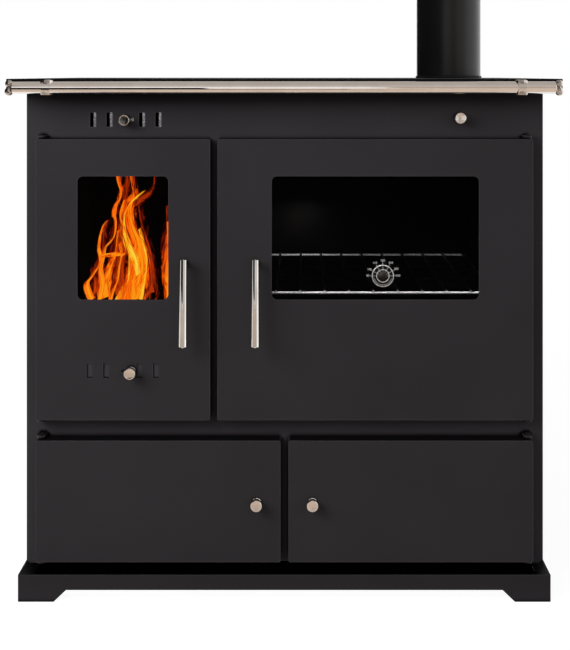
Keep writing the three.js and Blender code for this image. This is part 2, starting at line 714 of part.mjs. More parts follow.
/** A ring round the rail with a post behind it that ends on the worktop's edge. */
function railBracket() {
  const bore = bar('x', RAIL_DIAMETER + 2 * FIT, [-RAIL_RING_WIDTH, RAIL_RING_WIDTH], [0, 0], 20);
  const ring = bar('x', RAIL_RING_DIAMETER, [-RAIL_RING_WIDTH / 2, RAIL_RING_WIDTH / 2], [0, 0], 20);
  const post = bar('y', RAIL_POST_DIAMETER, [RAIL_DIAMETER / 2, RAIL_STANDOFF - FIT], [0, 0]);
  return cut(join(ring, post), bore);
}

/** A turned cap on the rail's end, its open side towards -Z. */
function railCap() {
  const bore = RAIL_DIAMETER / 2 + FIT;
  const outside = RAIL_CAP_PROFILE.map(([under, height]) => [RAIL_RING_DIAMETER / 2 - under, height]);
  return turned([
    [0, RAIL_CAP_SOCKET + FIT],
    [bore, RAIL_CAP_SOCKET + FIT],
    [bore, 0],
    ...outside,
    [0, outside.at(-1)[1]],
  ], 20);
}

function makeRail() {
  const half = hobRight - RAIL_END_INSET;
  const rail = new THREE.Group();
  rail.add(part('towel_rail', bar('x', RAIL_DIAMETER, [-half, half], [0, 0], 24), polished));
  for (const [side, name] of [[-1, 'left'], [1, 'right']]) {
    const bracket = part(`rail_bracket_${name}`, railBracket(), polished);
    rail.add(placed(bracket, side * (half - RAIL_RING_INSET), 0, 0));
    const cap = part(`rail_cap_${name}`, railCap(), polished);
    cap.rotation.y = side * Math.PI / 2;
    rail.add(placed(cap, side * (half - RAIL_CAP_SOCKET), 0, 0));
  }
  return placed(rail, 0, hobFront - RAIL_STANDOFF, hobHeight - RAIL_DROP);
}

// ---------------------------------------------------------------- firebox

const casingLeft = fireOpening.left - BRICK_THICKNESS - FIT;
const casingRight = fireOpening.right + BRICK_THICKNESS + FIT;
const fireFront = frontRear + FIT;
const fireRear = fireFront + FIRE_DEPTH;
const grateFrameBottom = GRATE_LEVEL - GRATE_FRAME_THICKNESS;

/** Three walls and a floor on a foot, with the way out for the smoke at the top of the right wall. */
function makeFireboxCasing() {
  const innerX = [casingLeft, casingRight];
  const innerY = [fireFront - OVER, fireRear];
  const outer = box(
    [casingLeft - SHEET, casingRight + SHEET],
    [fireFront, fireRear + SHEET],
    [STORE_DECK_HEIGHT + FIT, innerTop],
  );
  const chamber = box(innerX, innerY, [fireOpening.bottom, innerTop + OVER]);
  const foot = box(innerX, innerY, [STORE_DECK_HEIGHT, fireOpening.bottom - SHEET]);
  const gasWay = box(
    [casingRight - OVER, casingRight + SHEET + OVER],
    innerY,
    [hobHeight - FIRE_GAS_DROP, innerTop + OVER],
  );
  const ledgeY = [fireFront + FIRE_LEDGE_BACKSET, fireRear + OVER];
  const ledgeZ = [grateFrameBottom - FIT - SHEET, grateFrameBottom - FIT];
  const casing = join(
    cut(outer, chamber, foot, gasWay),
    box([casingLeft - OVER, casingLeft + FIRE_LEDGE], ledgeY, ledgeZ),
    box([casingRight - FIRE_LEDGE, casingRight + OVER], ledgeY, ledgeZ),
  );
  return part('firebox_casing', casing, innerSheet);
}

function makeGrate() {
  const middleY = fireFront + (FIRE_DEPTH - BRICK_THICKNESS) / 2;
  const hole = (margin) => [
    [fireMiddle - GRATE_WIDTH / 2 - margin, fireMiddle + GRATE_WIDTH / 2 + margin],
    [middleY - GRATE_DEPTH / 2 - margin, middleY + GRATE_DEPTH / 2 + margin],
  ];
  const seat = GRATE_LEVEL - GRATE_THICKNESS;
  const frameX = [casingLeft + FIT, casingRight - FIT];
  const frameY = [fireFront + GRATE_FRAME_BACKSET, fireRear - FIT];
  const frame = cut(
    box(frameX, frameY, [grateFrameBottom, GRATE_LEVEL]),
    box(...hole(HOLE_PLAY), [seat, GRATE_LEVEL + OVER]),
    box(...hole(-GRATE_LAP), [grateFrameBottom - OVER, GRATE_LEVEL + OVER]),
  );
  const pitch = (GRATE_WIDTH - 2 * GRATE_SLOT) / GRATE_SLOTS;
  const slots = Array.from({ length: GRATE_SLOTS }, (_, i) => {
    const x = fireMiddle + (i - (GRATE_SLOTS - 1) / 2) * pitch;
    const reach = GRATE_DEPTH / 2 - GRATE_BORDER;
    return box(
      [x - GRATE_SLOT / 2, x + GRATE_SLOT / 2],
      [middleY - reach, middleY + reach],
      [seat - OVER, GRATE_LEVEL + OVER],
    );
  });
  const grate = cut(box(...hole(0), [seat + FIT, GRATE_LEVEL]), ...slots);
  return [part('grate_frame', frame, castIron), part('grate', grate, castIron)];
}

/** A firebrick lying in X and Z, its long edges chamfered, as thick as the two values of y. */
function brick(width, height) {
  const outline = new THREE.Shape();
  outline.moveTo(BRICK_CHAMFER, 0);
  outline.lineTo(width - BRICK_CHAMFER, 0);
  outline.lineTo(width, BRICK_CHAMFER);
  outline.lineTo(width, height - BRICK_CHAMFER);
  outline.lineTo(width - BRICK_CHAMFER, height);
  outline.lineTo(BRICK_CHAMFER, height);
  outline.lineTo(0, height - BRICK_CHAMFER);
  outline.lineTo(0, BRICK_CHAMFER);
  outline.closePath();
  return standing(outline, [0, BRICK_THICKNESS]);
}

function makeBricks() {
  const base = GRATE_LEVEL + FIT;
  const rearFace = fireRear - FIT - BRICK_THICKNESS;
  const frontEdge = fireFront + BRICK_BACKSET;
  const sideLength = (rearFace - FIT - frontEdge) / 2;
  const rear = part('fire_brick_rear', brick(fireOpening.right - fireOpening.left, BRICK_HEIGHT), chamotte);
  const bricks = [placed(rear, fireOpening.left, rearFace, base)];
  for (const [name, x] of [['left', fireOpening.left], ['right', fireOpening.right + BRICK_THICKNESS]]) {
    for (const [place, start] of [['front', 0], ['back', sideLength]]) {
      const slab = part(`fire_brick_${name}_${place}`, brick(sideLength - FIT, BRICK_HEIGHT), chamotte);
      slab.rotation.z = Math.PI / 2;
      bricks.push(placed(slab, x, frontEdge + start, base));
    }
  }
  return bricks;
}

/** A pan with a turned-down grip at its front. */
function makeAshPan() {
  const x = [fireMiddle - ASH_PAN_WIDTH / 2, fireMiddle + ASH_PAN_WIDTH / 2];
  const y = [ASH_PAN_BACKSET, ASH_PAN_BACKSET + ASH_PAN_DEPTH];
  const z = [fireOpening.bottom + FIT, fireOpening.bottom + FIT + ASH_PAN_HEIGHT];
  const inner = ([low, high]) => [low + ASH_PAN_SHEET, high - ASH_PAN_SHEET];
  const grip = [fireMiddle - ASH_PAN_GRIP / 2, fireMiddle + ASH_PAN_GRIP / 2];
  const gripFront = y[0] - ASH_PAN_GRIP_DEPTH;
  const pan = join(
    cut(box(x, y, z), box(inner(x), inner(y), [z[0] + ASH_PAN_SHEET, z[1] + OVER])),
    box(grip, [gripFront, y[0] + OVER], [z[1] - ASH_PAN_SHEET, z[1]]),
    box(grip, [gripFront, gripFront + ASH_PAN_SHEET], [z[1] - ASH_PAN_GRIP_HEIGHT, z[1]]),
  );
  return part('ash_pan', pan, galvanised);
}

// ---------------------------------------------------------------- oven

const ovenFront = frontRear + FIT;
const ovenRear = ovenFront + OVEN_DEPTH;
const wireLevel = ovenOpening.bottom + RACK_LEVEL;

/** The oven's sheets, the runners of its rack and, on its roof, the guide of the damper's rod. */
function makeOvenBox() {
  const { left, right, bottom, top } = ovenOpening;
  const outer = box(
    [left - OVEN_SHEET, right + OVEN_SHEET],
    [ovenFront, ovenRear + OVEN_SHEET],
    [bottom - OVEN_SHEET, top + OVEN_SHEET],
  );
  const runnerTop = wireLevel - RACK_WIRE - FIT;
  const runnerZ = [runnerTop - RUNNER_THICKNESS, runnerTop];
  const runnerY = [ovenFront + RUNNER_BACKSET, ovenRear + OVER];
  const guideY = [DAMPER_GUIDE_BACKSET, DAMPER_GUIDE_BACKSET + SHEET];
  const through = [guideY[0] - OVER, guideY[1] + OVER];
  const guide = cut(
    box(
      [damperX - DAMPER_GUIDE_MARGIN, damperX + DAMPER_GUIDE_MARGIN],
      guideY,
      [top + OVEN_SHEET - OVER, damperHeight + DAMPER_GUIDE_MARGIN],
    ),
    bar('y', DAMPER_ROD_DIAMETER + HOLE_PLAY, through, [damperX, damperHeight]),
  );
  const oven = join(
    cut(outer, box([left, right], [ovenFront - OVER, ovenRear], [bottom, top])),
    box([left - OVER, left + RUNNER_WIDTH], runnerY, runnerZ),
    box([right - RUNNER_WIDTH, right + OVER], runnerY, runnerZ),
    guide,
  );
  return part('oven_box', oven, innerSheet);
}

/** Wires from front to rear lying on a front, a rear and two middle cross wires. */
function makeRack() {
  const half = OVEN_WIDTH / 2 - RACK_SIDE_PLAY;
  const y = [RACK_BACKSET, RACK_BACKSET + RACK_DEPTH];
  const crossLevel = wireLevel - RACK_WIRE / 2;
  const lengthLevel = crossLevel + RACK_WIRE * (1 - RACK_WIRE_SINK);
  const span = [ovenMiddle - half, ovenMiddle + half];
  const pitch = 2 * (half - RACK_WIRE_MARGIN) / (RACK_WIRES - 1);
  const crossPlaces = [0, 1 / 3, 2 / 3, 1].map((share) => (
    y[0] + RACK_WIRE / 2 + share * (RACK_DEPTH - RACK_WIRE)
  ));
  const crosses = crossPlaces.map((place) => bar('x', RACK_WIRE, span, [place, crossLevel], WIRE_SIDES));
  const sides = [-1, 1].map((side) => (
    bar('y', RACK_WIRE, y, [ovenMiddle + side * (half - RACK_WIRE / 2), crossLevel], WIRE_SIDES)
  ));
  const wires = Array.from({ length: RACK_WIRES }, (_, i) => {
    const x = ovenMiddle + (i - (RACK_WIRES - 1) / 2) * pitch;
    return bar('y', RACK_WIRE, y, [x, lengthLevel], WIRE_SIDES);
  });
  return part('oven_rack', join(...crosses, ...sides, ...wires), galvanised);
}

// ---------------------------------------------------------------- smoke way and damper

/** The sheets that lead the smoke round the oven, and the damper that opens the short way to the flue. */
function makeSmokeWay() {
  const ovenTop = ovenOpening.top + OVEN_SHEET + FIT;
  const right = innerRight - FIT;
  const boxLeft = right - SMOKE_BOX_WIDTH;
  const wallY = ovenRear + OVEN_SHEET + FIT;
  const frontY = [SMOKE_BOX_FRONT, SMOKE_BOX_FRONT + SHEET];
  const halfWidth = DAMPER_OPENING_WIDTH / 2;
  const halfHeight = DAMPER_OPENING_HEIGHT / 2;
  const baffle = cut(
    join(
      box(
        [casingRight + SHEET + FIT, right],
        [wallY, wallY + SHEET],
        [ovenOpening.bottom - OVEN_SHEET, innerTop],
      ),
      box([boxLeft, boxLeft + SHEET], [frontY[0], wallY + OVER], [ovenTop, innerTop]),
      box([boxLeft, right], frontY, [ovenTop, innerTop]),
    ),
    box(
      [boxLeft + SHEET, right + OVER],
      [wallY - OVER, wallY + SHEET + OVER],
      [ovenTop, innerTop + OVER],
    ),
    box(
      [damperX - halfWidth, damperX + halfWidth],
      [frontY[0] - OVER, frontY[1] + OVER],
      [damperHeight - halfHeight, damperHeight + halfHeight],
    ),
  );
  const plateY = [SMOKE_BOX_FRONT - FIT - SHEET, SMOKE_BOX_FRONT - FIT];
  const plate = box(
    [damperX - halfWidth - DAMPER_LAP, damperX + halfWidth + DAMPER_LAP],
    plateY,
    [damperHeight - halfHeight - DAMPER_LAP, damperHeight + halfHeight + DAMPER_LAP],
  );
  const rodSpan = [-DAMPER_ROD_PROUD, plateY[0] + OVER];
  const rod = bar('y', DAMPER_ROD_DIAMETER, rodSpan, [damperX, damperHeight], 12);
  return [
    part('smoke_baffle', baffle, innerSheet),
    part('damper_plate', join(plate, rod), innerSheet),
    makeKnob('damper_knob', damperX, rodSpan[0] - FIT, damperHeight),
  ];
}

// ---------------------------------------------------------------- knobs, slides and handles

/** A turned knob whose back lies at `y`, pointing to the front. */
function makeKnob(name, x, y, z) {
  const outside = KNOB_PROFILE.map(([share, height]) => [share * KNOB_DIAMETER / 2, height]);
  const knob = turned([[0, 0], ...outside, [0, outside.at(-1)[1]]], 20);
  const mesh = part(name, knob, polished);
  mesh.rotation.x = Math.PI / 2;
  return placed(mesh, x, y, z);
}

/** A slide with four windows and the shank of its knob, behind the face at `y`. */
function makeSlide(name, material, { middle, height, y, faceThickness, windowOffset, knobOffset }) {
  const front = y + FIT;
  const rear = front + SLIDE_THICKNESS;
  const half = 2 * SLOT_PITCH + SLIDE_WINDOW / 2 + SLIDE_END;
  const centre = middle + windowOffset;
  const halfHeight = SLOT_HEIGHT / 2;
  const strip = box([centre - half, centre + half], [front, rear], [
    height - halfHeight - SLIDE_MARGIN, height + halfHeight + SLIDE_MARGIN,
  ]);
  const windows = slotSteps.map((step) => {
    const x = centre + step * SLOT_PITCH;
    return box(
      [x - SLIDE_WINDOW / 2, x + SLIDE_WINDOW / 2],
      [front - OVER, rear + OVER],
      [height - halfHeight, height + halfHeight],
    );
  });
  const knobX = middle + knobOffset;
  const shankEnd = y - faceThickness - SLIDE_SHANK_PROUD;
  const shank = bar('y', KNOB_SHANK_DIAMETER, [shankEnd, front + SLIDE_THICKNESS / 2], [knobX, height], 12);
  return [
    part(name, join(cut(strip, ...windows), shank), material),
    makeKnob(`${name}_knob`, knobX, shankEnd - FIT, height),
  ];
}

/**
 * A tapered bar that leans out towards its lower end, on a spindle with a latch tongue.
 * The origin is the spindle's axis at the door's front face; `side` points to the latch.
 */
function makeHandle(name, side, tongueLength) {
  const top = HANDLE_TOP_DIAMETER / 2;
  const bottom = HANDLE_BOTTOM_DIAMETER / 2;
  const profile = turned([
    [0, 0],
    [bottom - 1.2, 0],
    [bottom, 1.2],
    [top, HANDLE_LENGTH - 1],
    [top - 1, HANDLE_LENGTH],
    [0, HANDLE_LENGTH],
  ], 20);
  const lean = Math.atan2(HANDLE_LEAN, HANDLE_LENGTH);
  const grip = profile
    .translate([0, 0, HANDLE_TOP_MARGIN - HANDLE_LENGTH])
    .rotate([-lean * 180 / Math.PI, 0, 0])
    .translate([0, -HANDLE_STANDOFF, 0]);
  const tongueY = DOOR_PROUD + SHEET + LATCH_PLAY;
  const spindle = bar('y', HANDLE_SPINDLE_DIAMETER, [-HANDLE_STANDOFF, tongueY + LATCH_THICKNESS], [0, 0]);
  const reach = [Math.min(0, side * tongueLength), Math.max(0, side * tongueLength)];
  const tongue = box(reach, [tongueY, tongueY + LATCH_THICKNESS], [-LATCH_WIDTH / 2, LATCH_WIDTH / 2]);
  return part(name, join(grip, spindle, tongue), polished);
}

// ---------------------------------------------------------------- doors

/** A folded door, open behind, with its origin at the lower left corner of its front face. */
function doorPan(width, height, hingeSide) {
  const outline = roundedOutline([0, width], [0, height], DOOR_CORNER);
  const hollow = box(
    [DOOR_SHEET, width - DOOR_SHEET],
    [DOOR_SHEET, panDepth + OVER],
    [DOOR_SHEET, height - DOOR_SHEET],
  );
  const hinge = [hingeOffset(width, hingeSide), HINGE_BACKSET];
  const rodHoles = bar('z', HINGE_ROD_DIAMETER + 2 * FIT, [-OVER, height + OVER], hinge);
  return cut(standing(outline, [0, panDepth]), hollow, rodHoles);
}

const glassFront = DOOR_SHEET + FIT;
const glassRear = glassFront + GLASS_THICKNESS;

/**
 * The sheets, glass and seal of one of the two main doors.
 * `opening` is the hole in the casing that the door closes, `handleX` the spindle from the door's
 * left edge. Solids in `panAdds` join the pan; `panCuts`, `linerCuts` and `glassCuts` are cut out.
 */
function makeMainDoor({
  name,
  left,
  width,
  hingeSide,
  windowMargin,
  opening,
  handleX,
  panAdds = [],
  panCuts = [],
  linerCuts = [],
  glassCuts = [],
}) {
  const window = {
    x: [windowMargin, width - windowMargin],
    z: [MAIN_DOOR_HEIGHT - WINDOW_DROP - WINDOW_HEIGHT, MAIN_DOOR_HEIGHT - WINDOW_DROP],
  };
  const grown = ([low, high], by) => [low - by, high + by];
  const spindle = [handleX, HANDLE_SPINDLE_HEIGHT];
  const spindleHole = bar('y', HANDLE_SPINDLE_DIAMETER + 2 * FIT, [-OVER, DOOR_PROUD], spindle);

  const pan = cut(
    join(doorPan(width, MAIN_DOOR_HEIGHT, hingeSide), ...panAdds),
    standing(roundedOutline(window.x, window.z, WINDOW_CORNER), [-OVER, DOOR_SHEET + OVER], 4),
    spindleHole,
    ...panCuts,
  );
  const glass = cut(
    box(grown(window.x, GLASS_LAP), [glassFront, glassRear], grown(window.z, GLASS_LAP)),
    ...glassCuts,
  );

  const linerY = [LINER_DEPTH, LINER_DEPTH + DOOR_SHEET];
  const edge = DOOR_SHEET + FIT;
  const collarOuter = COLLAR_MARGIN + DOOR_SHEET;
  const liner = cut(
    join(
      box([edge, width - edge], linerY, [edge, MAIN_DOOR_HEIGHT - edge]),
      box(grown(window.x, collarOuter), [glassRear + FIT, linerY[1]], grown(window.z, collarOuter)),
    ),
    box(grown(window.x, COLLAR_MARGIN), [glassRear, linerY[1] + OVER], grown(window.z, COLLAR_MARGIN)),
    spindleHole,
    ...linerCuts,
  );

  const seat = {
    x: [opening.left - left, opening.right - left],
    z: [opening.bottom - MAIN_DOOR_BOTTOM, opening.top - MAIN_DOOR_BOTTOM],
  };
  const sealY = [linerY[1] + FIT, DOOR_PROUD - FIT];
  const sealOutline = (margin, corner) => (
    roundedOutline(grown(seat.x, margin), grown(seat.z, margin), corner)
  );
  const seal = cut(
    standing(sealOutline(SEAL_MARGIN + SEAL_WIDTH, SEAL_WIDTH), sealY),
    standing(sealOutline(SEAL_MARGIN, SEAL_INNER_CORNER), [sealY[0] - OVER, sealY[1] + OVER]),
  );

  const door = new THREE.Group();
  door.add(
    part(`${name}_panel`, pan, paint),
    part(`${name}_glass`, glass, darkGlass),
    part(`${name}_liner`, liner, innerSheet),
    part(`${name}_seal`, seal, rope),
  );
  return placed(door, left, -DOOR_PROUD, MAIN_DOOR_BOTTOM);
}

function makeFireDoor() {
  const middle = FIRE_DOOR_WIDTH / 2;
  const knobX = middle + LOWER_KNOB_OFFSET;
  const handleX = FIRE_DOOR_WIDTH - FIRE_HANDLE_INSET;
  const airWay = box(
    [middle - 2.5 * SLOT_PITCH, middle + 2.5 * SLOT_PITCH],
    [LINER_DEPTH - OVER, DOOR_PROUD],
    [LOWER_SLIDE_RISE - SLOT_HEIGHT, LOWER_SLIDE_RISE + SLOT_HEIGHT],
  );
  const knobSpan = [knobX - LOWER_TRAVEL_LEFT, knobX + LOWER_TRAVEL_RIGHT];
  const door = makeMainDoor({
    name: 'fire_door',
    left: fireDoorLeft,
    width: FIRE_DOOR_WIDTH,
    hingeSide: -1,
    windowMargin: FIRE_WINDOW_MARGIN,
    opening: fireOpening,
    handleX,
    panAdds: slideGuides(middle, LOWER_SLIDE_RISE, DOOR_SHEET),
    panCuts: airSlots(middle, LOWER_SLIDE_RISE, [-OVER, DOOR_SHEET + FIT], knobSpan),
    linerCuts: [airWay],
  });
  const tongue = fireOpening.right - LATCH_CLEARANCE - (fireDoorLeft + handleX);
  door.add(
    ...makeSlide('lower_air_slide', innerSheet, {
      middle,
      height: LOWER_SLIDE_RISE,
      y: DOOR_SHEET,
      faceThickness: DOOR_SHEET,
      windowOffset: LOWER_SLIDE_OFFSET,
      knobOffset: LOWER_KNOB_OFFSET,
    }),
    placed(makeHandle('fire_door_handle', 1, tongue), handleX, 0, HANDLE_SPINDLE_HEIGHT),
  );
  return door;
}

/** A cup with a stem through the glass, and its pointer, both turned about Y at the dial's middle. */
function makeThermometer(x, z) {
  const radius = THERMOMETER_DIAMETER / 2;
  const stemEnd = -glassRear - THERMOMETER_STEM_LENGTH;
  const cup = turned([
    [0, stemEnd],
    [THERMOMETER_STEM / 2, stemEnd],
    [THERMOMETER_STEM / 2, -DOOR_SHEET],
    [radius, -DOOR_SHEET],
    [radius, 0],
    [radius - THERMOMETER_RIM / 2, 1],
    [radius - THERMOMETER_RIM, 0],
    [radius - THERMOMETER_RIM, -THERMOMETER_DIAL_BACKSET],
    [0, -THERMOMETER_DIAL_BACKSET],
  ], 32);
  const pointerTip = radius - THERMOMETER_RIM * 1.5;
  const needle = [-1, -FIT];
  const pointer = join(
    bar('y', POINTER_HUB, [needle[0] - FIT, needle[1]], [0, 0], 12),
    box([-POINTER_TAIL, pointerTip], needle, [-POINTER_WIDTH / 2, POINTER_WIDTH / 2]),
  );
  const cupMesh = part('thermometer_case', cup, polished);
  cupMesh.rotation.x = Math.PI / 2;
  const pointerMesh = part('thermometer_pointer', pointer, polished);
  pointerMesh.rotation.y = Math.PI; // cold: the pointer lies to the left
  return [placed(cupMesh, x, 0, z), placed(pointerMesh, x, THERMOMETER_DIAL_BACKSET, z)];
}

function makeOvenDoor() {
  const handleX = OVEN_HANDLE_INSET;
  const dialX = ovenDoorWidth / 2 + THERMOMETER_OFFSET;
  const dialZ = MAIN_DOOR_HEIGHT - WINDOW_DROP - WINDOW_HEIGHT + THERMOMETER_RISE;
  const door = makeMainDoor({
    name: 'oven_door',
    left: ovenDoorLeft,
    width: ovenDoorWidth,
    hingeSide: 1,
    windowMargin: OVEN_WINDOW_MARGIN,
    opening: ovenOpening,
    handleX,
    glassCuts: [bar('y', THERMOMETER_STEM + HOLE_PLAY, [-OVER, DOOR_PROUD], [dialX, dialZ])],
  });
  const tongue = ovenDoorLeft + handleX - (ovenOpening.left + LATCH_CLEARANCE);
  door.add(
    placed(makeHandle('oven_door_handle', -1, tongue), handleX, 0, HANDLE_SPINDLE_HEIGHT),
    ...makeThermometer(dialX, dialZ),
  );
  return door;
}

function makeStoreDoor({ name, left, hingeSide }) {
  const door = new THREE.Group();
  const knobX = hingeSide < 0 ? storeDoorWidth - STORE_KNOB_INSET : STORE_KNOB_INSET;
  const at = [knobX, STORE_KNOB_HEIGHT];
  const screwHole = bar('y', KNOB_SHANK_DIAMETER, [-OVER, DOOR_SHEET + OVER], at, 12);
  door.add(
    part(`${name}_panel`, cut(doorPan(storeDoorWidth, STORE_DOOR_HEIGHT, hingeSide), screwHole), paint),
    makeKnob(`${name}_knob`, knobX, -FIT, STORE_KNOB_HEIGHT),
  );
  return placed(door, left, -DOOR_PROUD, STORE_DOOR_BOTTOM);
}

// ---------------------------------------------------------------- the stove

const stove = new THREE.Group();
stove.add(
  ...makePlinth(),
  ...makeCasing(),
  ...makeHob(),
  ...makeFlue(),
  makeRail(),
  makeFireboxCasing(),
  ...makeGrate(),
  ...makeBricks(),
  makeAshPan(),
  makeOvenBox(),
  makeRack(),
  ...makeSmokeWay(),
  ...makeSlide('upper_air_slide', galvanised, {
    middle: fireMiddle,
    height: upperSlideHeight,
    y: frontRear,
    faceThickness: SHEET,
    windowOffset: UPPER_SLIDE_OFFSET,
    knobOffset: UPPER_KNOB_OFFSET,
  }),
  makeFireDoor(),
  makeOvenDoor(),
  ...storeDoors.map(makeStoreDoor),
);

const bounds = new THREE.Box3().setFromObject(stove);
const middle = bounds.getCenter(new THREE.Vector3());
stove.position.set(-middle.x, -middle.y, -bounds.min.z);

const model = new THREE.Group();
model.add(stove);

export default model;
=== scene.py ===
"""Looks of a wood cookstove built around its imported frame."""

import json
import math

import bmesh
import bpy
from mathutils import Matrix, Vector

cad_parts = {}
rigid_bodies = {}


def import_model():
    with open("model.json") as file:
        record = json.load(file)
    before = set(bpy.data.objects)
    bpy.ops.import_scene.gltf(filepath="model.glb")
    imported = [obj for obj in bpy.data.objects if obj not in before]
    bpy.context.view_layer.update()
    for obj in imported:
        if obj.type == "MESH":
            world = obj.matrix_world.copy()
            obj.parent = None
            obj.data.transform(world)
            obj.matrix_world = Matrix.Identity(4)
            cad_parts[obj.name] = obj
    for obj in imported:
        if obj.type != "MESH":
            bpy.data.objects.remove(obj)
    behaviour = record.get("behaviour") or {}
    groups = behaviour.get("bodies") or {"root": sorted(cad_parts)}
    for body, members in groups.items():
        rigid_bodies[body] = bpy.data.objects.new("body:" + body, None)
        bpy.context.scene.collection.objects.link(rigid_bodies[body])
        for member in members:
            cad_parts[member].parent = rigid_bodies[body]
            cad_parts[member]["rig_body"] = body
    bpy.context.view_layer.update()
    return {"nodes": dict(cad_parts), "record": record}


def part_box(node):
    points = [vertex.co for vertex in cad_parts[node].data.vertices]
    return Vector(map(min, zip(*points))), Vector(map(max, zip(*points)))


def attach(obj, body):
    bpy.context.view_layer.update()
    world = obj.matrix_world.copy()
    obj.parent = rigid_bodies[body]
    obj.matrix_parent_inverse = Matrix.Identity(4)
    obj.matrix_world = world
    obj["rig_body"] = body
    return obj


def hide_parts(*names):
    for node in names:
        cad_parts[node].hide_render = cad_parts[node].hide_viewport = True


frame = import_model()

# The frame's y, in metres, of the casing's front face.
FRONT = -0.24475

# Camera: its place in metres, its lens in millimetres, its shift in shares of the picture's longer side
CAMERA_X = 0.031
CAMERA_DISTANCE = 1.885
CAMERA_HEIGHT = 0.8573
LENS = 62.44
SHIFT_X = -0.0282
SHIFT_Y = -0.3856

# Light. The sky behind the stove has the given share of the strength in front of it.
SKY_STRENGTH = 1.4
REAR_SKY_SHARE = 0.3
KEY_POWER = 37.0

# The range that noise mostly fills.
NOISE_LOW = 0.3
NOISE_HIGH = 0.7

# How far, in metres, the paint is painted lighter beside an edge, as rubbed wear and a painted
# highlight, and darker beside a gap, as painted shade.
WORN_LIT_WIDTH = 0.0024
SHADE_DEPTH = 0.008
# The same beside the slots of the lower air slide, which painted shade would otherwise cover.
SLOT_SHADE_DEPTH = 0.0025

# Cosine between the true and the rounded normal: on a flat, and at an edge.
FLAT_COSINE = 0.985
EDGE_COSINE = 0.85
# Open share of the sky over a surface: at which painted shade is darkest, and at which there is none.
CLOSED_SHARE = 0.60
OPEN_SHARE = 0.90
# Upward part of the normal: up to which a face is unshaded, and from which it is painted darkest, as
# shade.
STEEP_NORMAL = 0.75
LEVEL_NORMAL = 0.97
# Share of the paint's colour left under the painted shade, in gaps and on tops.
GAP_SHADE = 0.02
TOP_SHADE = 0.12

# Rounding of edges, in metres: on the CAD nodes, on their smooth copies, and on the rack's thin wires.
EDGE_ROUND = 0.0006
COPY_ROUND = 0.0004
WIRE_ROUND = 0.0002
# Vertices are merged within this many metres. Edges turned by more than this many degrees are sharp.
MERGE_DISTANCE = 0.00002
SHARP_ANGLE = 35.0


# Materials ------------------------------------------------------------------------------------

def new_material(name):
    """A node material, with its shader and its node tree."""
    made = bpy.data.materials.new(name)
    made.use_nodes = True
    shader = made.node_tree.nodes["Principled BSDF"]
    return made, made.node_tree, shader


def bare_material(name):
    """A node material that has only an output, with its node tree and that output."""
    made = bpy.data.materials.new(name)
    made.use_nodes = True
    made.node_tree.nodes.clear()
    return made, made.node_tree, made.node_tree.nodes.new("ShaderNodeOutputMaterial")


def glowing_material(name):
    """A material that only glows, with its node tree and its emission node."""
    made, tree, output = bare_material(name)
    glow = tree.nodes.new("ShaderNodeEmission")
    tree.links.new(glow.outputs["Emission"], output.inputs["Surface"])
    return made, tree, glow


def noise(tree, scale, detail=3.0, roughness=0.55, stretch=(1.0, 1.0, 1.0)):
    """Noise in object coordinates, in metres, stretched per axis."""
    coordinates = tree.nodes.new("ShaderNodeTexCoord")
    mapping = tree.nodes.new("ShaderNodeMapping")
    mapping.inputs["Scale"].default_value = stretch
    texture = tree.nodes.new("ShaderNodeTexNoise")
    texture.inputs["Scale"].default_value = scale
    texture.inputs["Detail"].default_value = detail
    texture.inputs["Roughness"].default_value = roughness
    tree.links.new(coordinates.outputs["Object"], mapping.inputs["Vector"])
    tree.links.new(mapping.outputs["Vector"], texture.inputs["Vector"])
    return texture.outputs["Fac"]


def ramp(tree, factor, stops):
    """A colour ramp through (position, (r, g, b)) stops."""
    node = tree.nodes.new("ShaderNodeValToRGB")
    elements = node.color_ramp.elements
    while len(elements) < len(stops):
        elements.new(0.5)
    for element, (position, colour) in zip(elements, stops):
        element.position = position
        element.color = (*colour, 1.0)
    tree.links.new(factor, node.inputs["Fac"])
    return node.outputs["Color"]


def mottled(tree, factor, dark, light):
    """A colour that runs from dark to light over the range that noise mostly fills."""
    return ramp(tree, factor, [(NOISE_LOW, dark), (NOISE_HIGH, light)])


def grey(level):
    """A neutral colour."""
    return (level, level, level)


def bump(tree, shader, height, strength, distance):
    """Bumps the shader's normal by a height."""
    node = tree.nodes.new("ShaderNodeBump")
    node.inputs["Strength"].default_value = strength
    node.inputs["Distance"].default_value = distance
    tree.links.new(height, node.inputs["Height"])
    tree.links.new(node.outputs["Normal"], shader.inputs["Normal"])


def mapped(tree, value, from_low, from_high, low, high):
    """A value mapped from one range to another and kept within it."""
    node = tree.nodes.new("ShaderNodeMapRange")
    node.inputs["From Min"].default_value = from_low
    node.inputs["From Max"].default_value = from_high
    node.inputs["To Min"].default_value = low
    node.inputs["To Max"].default_value = high
    tree.links.new(value, node.inputs["Value"])
    return node.outputs["Result"]


def spread(tree, factor, low, high):
    """Noise mapped between two numbers."""
    return mapped(tree, factor, NOISE_LOW, NOISE_HIGH, low, high)


def maths(tree, operation, first, second=None):
    """The result of an operation on one or two values, each a number or a socket."""
    node = tree.nodes.new("ShaderNodeMath")
    node.operation = operation
    for socket, value in zip(node.inputs, (first, second)):
        if isinstance(value, (int, float)):
            socket.default_value = value
        elif value is not None:
            tree.links.new(value, socket)
    return node.outputs["Value"]


def scaled(tree, colour, factor):
    """A colour made lighter or darker by a factor."""
    node = tree.nodes.new("ShaderNodeVectorMath")
    node.operation = "SCALE"
    tree.links.new(colour, node.inputs[0])
    tree.links.new(factor, node.inputs["Scale"])
    return node.outputs["Vector"]


